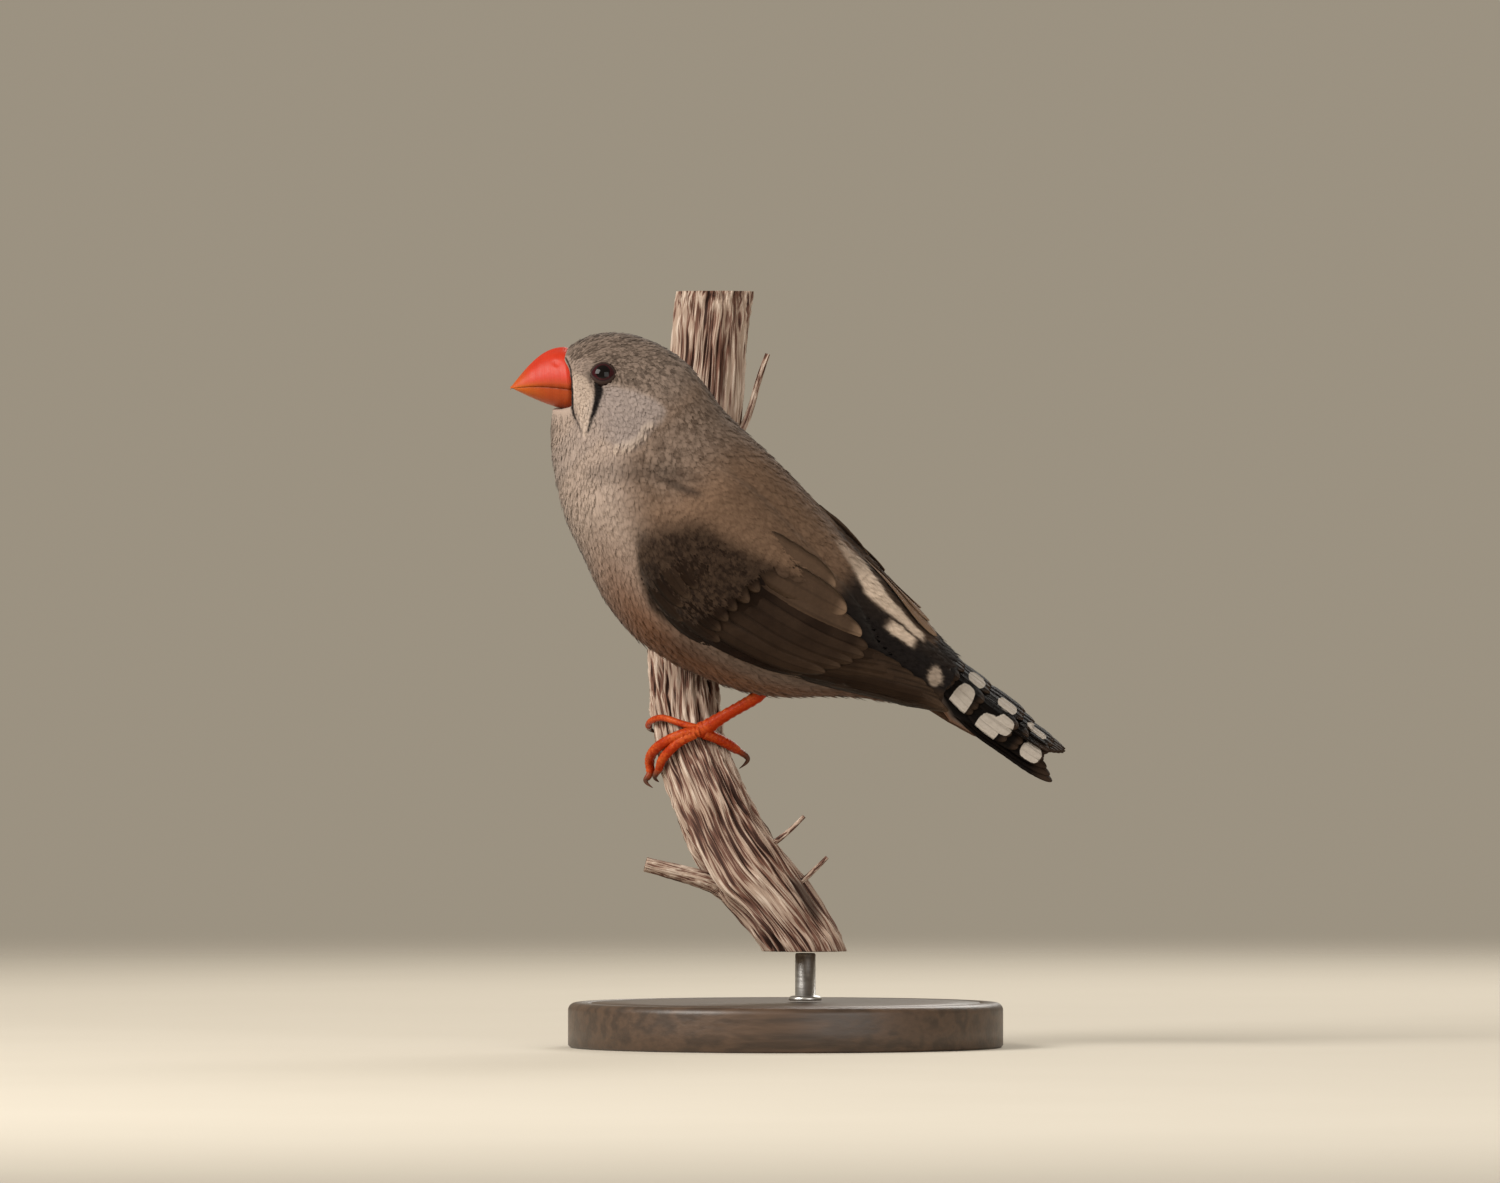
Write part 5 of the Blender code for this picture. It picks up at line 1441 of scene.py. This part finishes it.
def stem_shape():
    """Bark surface between two level cuts: every line along the stem starts and ends at its own cut."""
    turn = np.arange(BARK_SIDES) * TAU / BARK_SIDES
    read = np.linspace(0, len(STEM) - 1, 500)
    level = stem_place(read[:, None], turn[None, :], np.zeros((500, BARK_SIDES)))[..., 2]
    start = np.array([np.interp(STEM_CUT, level[:, j], read) for j in range(BARK_SIDES)])
    end = np.array([np.interp(STEM_TOP, level[:, j], read) for j in range(BARK_SIDES)])
    share = np.linspace(0, 1, BARK_ROWS)[:, None]
    u = start + (end - start) * share
    angle = np.broadcast_to(turn, u.shape)
    run = u * RUN_PER_STATION
    lines = bark_lines(run, angle)
    height = bark_height(run, lines)
    knot = np.exp(-(((run - 16.5) / 2.6) ** 2 + (((angle + 0.7 + math.pi) % TAU - math.pi) / 0.6) ** 2))
    scar = np.exp(-(((run - 9.5) / 4.2) ** 2 + (((angle - 0.95 + math.pi) % TAU - math.pi) / 0.32) ** 2))
    lift = (height - 0.62) * 2.1 + 0.5 * knot - 0.9 * scar
    rings = stem_place(u, angle, lift)
    rings[0, :, 2], rings[-1, :, 2] = STEM_CUT, STEM_TOP
    fields = {"bark": np.stack([height, scar, np.zeros_like(height)], -1)}
    fibre = np.stack([5.4 * np.cos(lines * TAU), 5.4 * np.sin(lines * TAU), run * 0.05], -1) * MM
    inner = []
    for row in (0, -1):
        middle = rings[row].mean(0)
        inner.append([middle + (rings[row] - middle) * f for f in np.linspace(0.96, 0.12, 8)])
    caps = len(inner[0])
    rings = np.concatenate([inner[0][::-1], rings, inner[1]])
    cut = np.linspace(1, 0.12, caps)[:, None, None] * np.ones((caps, BARK_SIDES, 1))
    end_field = np.concatenate([0 * cut + 0.6, 0 * cut, cut], -1)
    fields["bark"] = np.concatenate([end_field[::-1], fields["bark"], end_field])
    fields["fibre"] = np.concatenate([np.repeat(fibre[:1], caps, 0), fibre, np.repeat(fibre[-1:], caps, 0)])
    return tube_shape(rings, fields)


TWIGS = (
    ((-5.0, 0.6, 21.8, 2.3), (-10.6, -0.4, 25.3, 1.6), (-16.0, -1.2, 27.1, 1.3), (-21.9, -1.6, 28.6, 1.2)),
    ((-6.6, 0.0, 29.6, 0.8), (-1.2, -0.6, 32.4, 0.45), (2.9, -1.0, 36.1, 0.32)),
    ((-2.4, 0.0, 22.4, 0.8), (2.4, -0.4, 25.8, 0.45), (6.5, -0.9, 29.7, 0.32)),
    ((-11.3, 21.0, 91.5, 0.9), (-6.7, 19.2, 97.0, 0.6), (-4.6, 18.4, 103.0, 0.5), (-2.8, 18.0, 108.6, 0.4)),
)


def along_path(knots, rows):
    """Smooth path through knots of x, y, z and radius, with directions along it and to its side."""
    path = smooth(np.asarray(knots, float), np.linspace(0, len(knots) - 1, rows))
    ahead = unit(np.gradient(path[:, :3], axis=0))
    side = unit(np.cross(ahead, (0.13, 0.21, 0.97)))
    return path[:, :3], path[:, 3], ahead, side, np.cross(ahead, side)


def twig_shape(knots, seed, rows=90, sides=28):
    """Thin twig with its own wrinkled bark."""
    centre, radius, _, side, other = along_path(knots, rows)
    turn = np.broadcast_to(np.arange(sides) * TAU / sides, (rows, sides))
    run = np.broadcast_to(np.linspace(0, 20, rows)[:, None], (rows, sides))
    height = 0.6 * lattice(turn / TAU * 9, run / 2.5, 9, seed)
    height = height + 0.4 * lattice(turn / TAU * 20, run / 0.8, 20, seed + 1)
    reach = radius[:, None] * (0.9 + 0.22 * height)
    rings = centre[:, None] + reach[..., None] * (np.cos(turn)[..., None] * side[:, None]
                                                   + np.sin(turn)[..., None] * other[:, None])
    zero = np.zeros_like(height)
    fibre = np.stack([reach * np.cos(turn), reach * np.sin(turn), run * 0.08 + seed], -1) * MM
    return tube_shape(rings, {"bark": np.stack([height * 0.7 + 0.3, zero, zero], -1), "fibre": fibre})


def bark_finish():
    """Pale grey ridges with a painted highlight, red-brown grooves with painted shade; the level cuts show
    pale wood with rings.
    """
    made = Finish("bark", Roughness=0.85)
    made.shader.inputs["Specular IOR Level"].default_value = 0.2
    height, scar, cut = (made.kept("bark", i) for i in range(3))
    along = made.node("Attribute", {"attribute_name": "fibre"}, output=1)
    strand, fine = made.noise(1.9, 2.0, vector=along), made.noise(4.0, 5.0, vector=along)
    broad = made.noise(0.10, 3.0)
    crest = 1 - ((strand - 0.5) * 4.0).math("ABSOLUTE")
    ridge = height * 0.42 + crest * 0.32 + fine * 0.36
    # Painted shade: the lowest parts of the ridge pattern go near black, darker than the red-brown grooves.
    colour = made.mix(ridge.rise(0.54, 0.62), (0.020, 0.007, 0.004), (0.150, 0.072, 0.050))
    colour = made.mix(broad.rise(0.42, 0.68) * 0.30, colour, (0.170, 0.095, 0.078))
    colour = made.mix(ridge.rise(0.645, 0.72), colour, (0.380, 0.280, 0.220))
    # Painted highlight: the highest crests turn almost white.
    colour = made.mix(ridge.rise(0.76, 0.83) * 0.7, colour, (0.620, 0.520, 0.440))
    colour = made.mix(scar.rise(0.3, 0.8) * 0.85, colour, (0.035, 0.018, 0.013))
    rings = (cut * 60.0 + fine * 3.0).math("SINE") * 0.5 + 0.5
    wood = made.mix(rings, (0.330, 0.225, 0.140), (0.470, 0.350, 0.235))
    colour = made.mix(cut.rise(0.01, 0.05), colour, wood)
    made.feed(Base_Color=made.shade(colour, 0.72 + fine * 0.56), Roughness=0.75 + fine * 0.2)
    made.bump(crest * 0.6 + fine * 0.4, 0.30)
    return made.material


BARK = bark_finish()
make_piece("stem_bark", stem_shape(), BARK, ("perch_stem",))
twigs = joined([twig_shape(knots, 60 + 3 * i) for i, knots in enumerate(TWIGS)])
make_piece("twigs", twigs, BARK, ("perch_stem",))

# %% [markdown]
# Legs are covered in small horny plates. Each shank and toe is a tube along a smooth path; on its front
# the radius steps like roof tiles, one step for each plate. Claws are their own dark pieces.

# %% Legs and claws
TOES = {
    "left": (
        ((49.8, 16, 0.4, 0.62), (50.6, -8, 0.1, 0.54), (51.3, -28, 0.1, 0.52), (51.4, -46, 0.1, 0.50),
         (50.8, -70, 0.1, 0.48), (50.2, -98, 0.1, 0.44)),
        ((49.4, 16, 0.4, 0.90), (48.9, -6, 0.2, 0.86), (47.9, -30, 0.2, 0.82), (46.5, -57, 0.3, 0.80),
         (44.6, -84, 0.6, 0.76), (42.7, -90, 1.1, 0.62)),
        ((49.0, 10, 0.4, 0.80), (47.8, -12, 0.15, 0.76), (46.4, -30, 0.15, 0.74), (44.8, -50, 0.15, 0.70),
         (43.4, -66, 0.15, 0.58)),
        ((49.0, 22, 0.4, 0.86), (48.4, 38, 0.15, 0.84), (47.3, 62, 0.25, 0.80), (46.3, 86, 0.7, 0.66)),
    ),
    "right": (
        ((64.6, 84, 0.4, 0.62), (65.6, 112, 0.1, 0.56), (66.6, 150, 0.1, 0.52), (67.0, 186, 0.1, 0.48)),
        ((64.2, 84, 0.4, 0.88), (64.3, 114, 0.1, 0.82), (64.0, 150, 0.1, 0.76), (63.4, 186, 0.1, 0.70),
         (62.8, 214, 0.1, 0.60)),
        ((63.8, 84, 0.4, 0.78), (62.8, 114, 0.1, 0.72), (61.2, 146, 0.1, 0.66), (59.8, 174, 0.1, 0.58)),
        ((64.0, 80, 0.4, 0.84), (64.8, 56, 0.1, 0.78), (66.2, 30, 0.1, 0.70), (67.4, 6, 0.1, 0.62)),
    ),
}
CLAWS = {
    "left": (((49.6, -114, 0.5), (48.9, -126, 0.1)), ((41.6, -91, 2.3), (40.5, -88, 1.8)),
             ((42.2, -82, 0.8), (41.4, -90, 0.6)), ((45.0, 96, 2.0), (43.5, 100, 0.5))),
    "right": (((66.7, 204, 0.6), (65.9, 218, 0.1)), ((62.0, 232, 0.7), (61.0, 246, 0.1)),
              ((58.6, 190, 0.6), (57.5, 200, 0.1)), ((68.2, -10, 0.6), (68.0, -26, 0.1))),
}
SHANKS = {"left": ((9.88, 155.5), (49.6, 21, 1.15)), "right": ((9.45, 212.0), (64.2, 84, 1.15))}
CLEAR = 0.34                               # toes lie this far off the stem's round surface
SHANK_RADIUS = 0.98


def limb(path, radius, front, plates, sides=24):
    """Tube with tiled plates on its front: the radius falls by a small step at the end of each plate."""
    rows = len(path)
    ahead = unit(np.gradient(path, axis=0))
    out = unit(front - ahead * (front * ahead).sum(-1, keepdims=True))
    side = np.cross(ahead, out)
    turn = np.arange(sides) * TAU / sides
    run = np.concatenate([[0], np.cumsum(np.linalg.norm(np.diff(path, axis=0), axis=1))])
    tile = (run / plates) % 1.0
    facing = np.clip(np.cos(turn), 0, 1) ** 0.6
    grain = np.clip(-np.cos(turn), 0, 1)
    pads = 0.05 * np.sin(run[:, None] * 5.2 + turn * 3) * grain
    reach = radius[:, None] * (1 + 0.15 * (0.5 - tile)[:, None] * facing + pads)
    round_axis = np.cos(turn)[:, None] * out[:, None] + np.sin(turn)[:, None] * side[:, None]
    rings = path[:, None] + reach[..., None] * round_axis
    scale = np.stack([tile[:, None] * np.ones(sides), np.broadcast_to(facing, (rows, sides)),
                      np.broadcast_to((run / run[-1])[:, None], (rows, sides))], -1)
    return tube_shape(rings, {"scale": scale})


def toe_shapes(name, rows=90):
    """Toes and claws of one foot: knots round the stem, the last two belonging to the claw."""
    toes, claws = [], []
    for toe, claw in zip(TOES[name], CLAWS[name]):
        toe, claw = np.array(toe), np.array(claw)
        radii = np.concatenate([toe[:, 3], (0.40, 0.10)])
        heights = np.concatenate([toe[:, 0], claw[:, 0]])
        turns = np.concatenate([toe[:, 1], claw[:, 1]])
        clear = np.concatenate([toe[:, 2] + toe[:, 3], claw[:, 2] + (0.36, 0.12)]) + CLEAR
        knots = np.concatenate([stem_point(heights, turns, clear), radii[:, None]], 1)
        axis = stem_frame(np.interp(heights, STEM_HEIGHTS, STEM_READ))[0]
        last = len(toe) - 1
        read = np.linspace(0, last + 0.12, rows)
        path = smooth(knots, read)
        radius = path[:, 3] * np.sqrt(np.clip(1 - ((read - last + 0.15) / 0.27).clip(0, 1) ** 2, 0.06, 1))
        outward = path[:, :3] - smooth(axis, read)
        toes.append(limb(path[:, :3], radius, outward, 0.62))
        read = np.linspace(last - 0.10, last + 2, 40)
        path = smooth(knots, read)
        share = np.linspace(0, 1, 40)
        thick = 0.50 * (1 - share ** 1.6) + 0.05
        claws.append(limb(path[:, :3], thick, path[:, :3] - smooth(axis, read), 50.0, sides=16))
    return toes, claws


def shank_shape(name, rows=120):
    """Shank from inside the belly's feathers to the foot, a little thicker at both ends."""
    (station, angle), (height, turn, clear) = SHANKS[name]
    root, normal = body_frame(station, math.radians(angle))[:2]
    pad = stem_point(height, turn, 0.3 + clear)
    knots = np.array([root - 2.2 * normal, root, root * 0.5 + pad * 0.5, root * 0.12 + pad * 0.88, pad])
    radii = SHANK_RADIUS * np.array([1.15, 1.05, 0.95, 1.18, 1.30])
    path = smooth(np.column_stack([knots, radii]), np.linspace(0, 4, rows))
    ends = np.linspace(0, 1, rows)
    radius = path[:, 3] * np.sqrt(np.clip(1 - np.clip((ends - 0.93) / 0.075, 0, 1) ** 2, 0.05, 1))
    front = np.broadcast_to(np.array([-0.6, -0.5, 0.6]), path[:, :3].shape)
    shank = limb(path[:, :3], radius, front, 1.15, sides=30)
    share = np.linspace(-0.995, 0.995, 24)
    ball = pad + share[:, None] * 1.35 * unit(path[-1, :3] - path[-20, :3]) * np.ones((1, 3))
    return joined([shank, limb(ball, 1.28 * np.sqrt(1 - share ** 2), front[:24], 1.15, sides=30)])


def leg_finish():
    """Orange-red plates with painted pinkish highlights on their fronts, and darker joints between them."""
    made = Finish("leg_scales", IOR=1.45, Subsurface_Weight=0.08, Subsurface_Scale=0.001)
    made.shader.inputs["Coat Weight"].default_value = 0.02
    made.shader.inputs["Specular IOR Level"].default_value = 0.15
    tile, facing, along = (made.kept("scale", i) for i in range(3))
    fine = made.noise(2.4, 4.0)
    broad = made.noise(0.4, 2.0)
    # Painted highlight: mottled paler pink on the front of each plate.
    painted_highlight = facing * (broad * 0.5 + fine * 0.5).rise(0.40, 0.62)
    colour = made.mix(painted_highlight, (0.33, 0.024, 0.001), (0.46, 0.075, 0.012))
    joint = (tile.rise(0.86, 1.0) + (1 - tile.rise(0.0, 0.10))) * facing
    colour = made.mix(joint * 0.6, colour, (0.20, 0.020, 0.004))
    made.feed(Base_Color=made.shade(colour, 0.80 + fine * 0.35), Roughness=0.38 + fine * 0.2)
    made.bump(fine * 0.6 + tile * facing * 0.4, 0.10)
    return made.material


def claw_finish():
    """Dark horn, paler towards the root."""
    made = Finish("claw_horn", Coat_Roughness=0.2)
    made.shader.inputs["Coat Weight"].default_value = 0.05
    made.shader.inputs["Specular IOR Level"].default_value = 0.2
    along, fine = made.kept("scale", 2), made.noise(2.0, 3.0)
    colour = made.mix((along + fine * 0.3).rise(0.15, 0.7), (0.26, 0.040, 0.008), (0.070, 0.026, 0.014))
    made.feed(Base_Color=colour, Roughness=0.30 + fine * 0.2)
    return made.material


LEG, CLAW = leg_finish(), claw_finish()
for name in SIDES:
    toes, claws = toe_shapes(name)
    make_piece("leg_" + name + "_skin", joined([shank_shape(name)] + toes), LEG, ("leg_" + name,))
    make_piece("claws_" + name, joined(claws), CLAW, ("leg_" + name,))

# %% [markdown]
# The stand is a turned wooden disc and a short steel rod. Both are profiles spun round an upright axis.

# %% Stand
BASE_RADIUS, BASE_HEIGHT, ROD_RADIUS = 34.0, 7.0, 1.6


def spun(profile, axis, sides=160):
    """Closed surface of turned work: each profile row is a radius and a height."""
    profile = np.asarray(profile, float)
    turn = np.arange(sides) * TAU / sides
    ring = np.stack([np.cos(turn), np.sin(turn), 0 * turn], -1)
    rings = ring[None] * profile[:, :1, None] + np.array([axis[0], axis[1], 0.0])
    rings[..., 2] = profile[:, 1:]
    reach = np.broadcast_to(profile[:, :1], rings.shape[:2])
    return tube_shape(rings, {"reach": reach[..., None]})


def base_profile():
    """Flat underside, small lower chamfer, straight rim, a rounded shoulder and a fine turned groove."""
    bend = np.linspace(0, math.pi / 2, 9)
    soft = 1.2
    shoulder = [(BASE_RADIUS - soft + soft * math.cos(a), BASE_HEIGHT - soft + soft * math.sin(a))
                for a in bend]
    groove = [(BASE_RADIUS - 3.0, BASE_HEIGHT), (BASE_RADIUS - 3.2, BASE_HEIGHT - 0.25),
              (BASE_RADIUS - 3.5, BASE_HEIGHT - 0.25), (BASE_RADIUS - 3.7, BASE_HEIGHT)]
    top = [(r, BASE_HEIGHT) for r in (24.0, 16.0, 8.0, 3.2)]
    under = [(r, 0.0) for r in (1.0, 12.0, 24.0, BASE_RADIUS - 0.4)]
    return under + [(BASE_RADIUS, 0.4), (BASE_RADIUS, 3.0)] + shoulder + groove + top


def wood_finish():
    """Dark turned wood: long grain from stretched noise, with fine pores and a soft polish."""
    made = Finish("stand_wood", Coat_Roughness=0.3)
    made.shader.inputs["Coat Weight"].default_value = 0.25
    grain = made.noise(0.22, 4.0, stretch=(0.12, 1, 1))
    pores = made.noise(1.6, 3.0, stretch=(0.08, 1, 1))
    bands = (grain * 26.0).math("SINE") * 0.5 + 0.5
    colour = made.mix(bands * 0.6 + pores * 0.4, (0.030, 0.017, 0.010), (0.085, 0.048, 0.028))
    made.feed(Base_Color=made.shade(colour, 0.8 + pores * 0.4), Roughness=0.36 + pores * 0.22)
    made.bump(pores, 0.05)
    return made.material


def steel_finish():
    """Satin steel with fine rings from turning."""
    made = Finish("stand_metal", Metallic=1.0)
    rings = made.noise(2.5, 2.0, stretch=(0.1, 0.1, 1))
    made.feed(Base_Color=made.mix(rings, (0.42, 0.41, 0.40), (0.60, 0.59, 0.57)))
    made.feed(Roughness=0.24 + rings * 0.2)
    made.bump(rings, 0.01)
    return made.material


rod_axis = smooth(STEM, np.interp(STEM_CUT, STEM_HEIGHTS, STEM_READ))[:2]
ROD_PROFILE = [(0.4, 7.3), (2.6, 7.3), (2.6, 7.7), (2.3, 8.0), (ROD_RADIUS, 8.1), (ROD_RADIUS, 14.5),
               (ROD_RADIUS - 0.15, 14.7), (0.4, 14.7)]
make_piece("base_disc", spun(base_profile(), (0.0, 0.0)), wood_finish(), ("stand_base",))
make_piece("rod_steel", spun(ROD_PROFILE, rod_axis, 96), steel_finish(), ("stand_rod",))

# %% [markdown]
# The floor is a plain pale disc that fades out at its rim. Three soft lights and a pale surround light
# the bird from above and in front, as open shade does. The long lens stands far away and level with
# the bird, as in the picture.

# %% Floor, light and camera
FLOOR_RADIUS = 900.0


def floor_finish():
    """Pale matt floor; a radial fade to clear hides its rim."""
    made = Finish("floor", Roughness=0.9)
    place = made.place()
    reach = made.node("VectorMath", {"operation": "LENGTH"}, {0: place}, output=1)
    fine = made.noise(0.02, 3.0)
    made.feed(Base_Color=made.mix(fine, (0.60, 0.555, 0.475), (0.63, 0.585, 0.505)))
    made.feed(Alpha=1 - reach.rise(0.35 * FLOOR_RADIUS * MM, 0.98 * FLOOR_RADIUS * MM))
    return made.material


def floor_object():
    """Flat disc at the height the stand rests on."""
    mesh = bpy.data.meshes.new("floor")
    turn = np.arange(96) * TAU / 96
    points = np.stack([np.cos(turn), np.sin(turn), 0 * turn], -1) * FLOOR_RADIUS * MM
    mesh.from_pydata(points.tolist(), [], [list(range(96))])
    mesh.materials.append(floor_finish())
    made = bpy.data.objects.new("floor", mesh)
    bpy.context.scene.collection.objects.link(made)
    return made


def area_light(name, place, target, size, power, colour):
    """Soft square light aimed at a point; places in millimetres."""
    data = bpy.data.lights.new(name, "AREA")
    data.size, data.energy, data.color = size * MM, power, colour
    made = bpy.data.objects.new(name, data)
    bpy.context.scene.collection.objects.link(made)
    back = np.asarray(place, float) - np.asarray(target, float)
    made.location = np.asarray(place) * MM
    made.rotation_euler = (math.atan2(math.hypot(back[0], back[1]), back[2]), 0.0,
                           math.atan2(back[1], back[0]) + math.pi / 2)
    return made


BIRD_MIDDLE = (0.0, -5.0, 75.0)
floor_object()
area_light("key", (-620, -420, 560), BIRD_MIDDLE, 520, 9.5, (1.0, 0.96, 0.90))
area_light("fill", (420, -760, 260), BIRD_MIDDLE, 600, 3.0, (1.0, 0.98, 0.95))
area_light("rim", (250, 650, 520), BIRD_MIDDLE, 420, 3.0, (1.0, 0.97, 0.92))

world = bpy.data.worlds.new("surround")
bpy.context.scene.world = world
world.use_nodes = True
world.node_tree.nodes["Background"].inputs["Color"].default_value = (0.60, 0.52, 0.40, 1.0)
world.node_tree.nodes["Background"].inputs["Strength"].default_value = 0.55
bpy.context.scene.view_settings.view_transform = "Standard"

PX_PER_MM = 6.4                             # picture scale, in the 1500 x 1183 frame
FRAME_CENTRE = (-5.56, 71.2)                # x and z that the middle of the picture looks at
FRAME_WIDE = 1500 / PX_PER_MM
CAMERA_FAR = 2500.0
camera_data = bpy.data.cameras.new("camera")
camera_data.sensor_width = 36.0
camera_data.lens = 36.0 * CAMERA_FAR / FRAME_WIDE
camera_data.clip_start, camera_data.clip_end = 0.1, 20.0
camera = bpy.data.objects.new("camera", camera_data)
bpy.context.scene.collection.objects.link(camera)
camera.location = (FRAME_CENTRE[0] * MM, -CAMERA_FAR * MM, FRAME_CENTRE[1] * MM)
camera.rotation_euler = (math.pi / 2, 0.0, 0.0)
bpy.context.scene.camera = camera
print("lens", round(camera_data.lens), "mm")
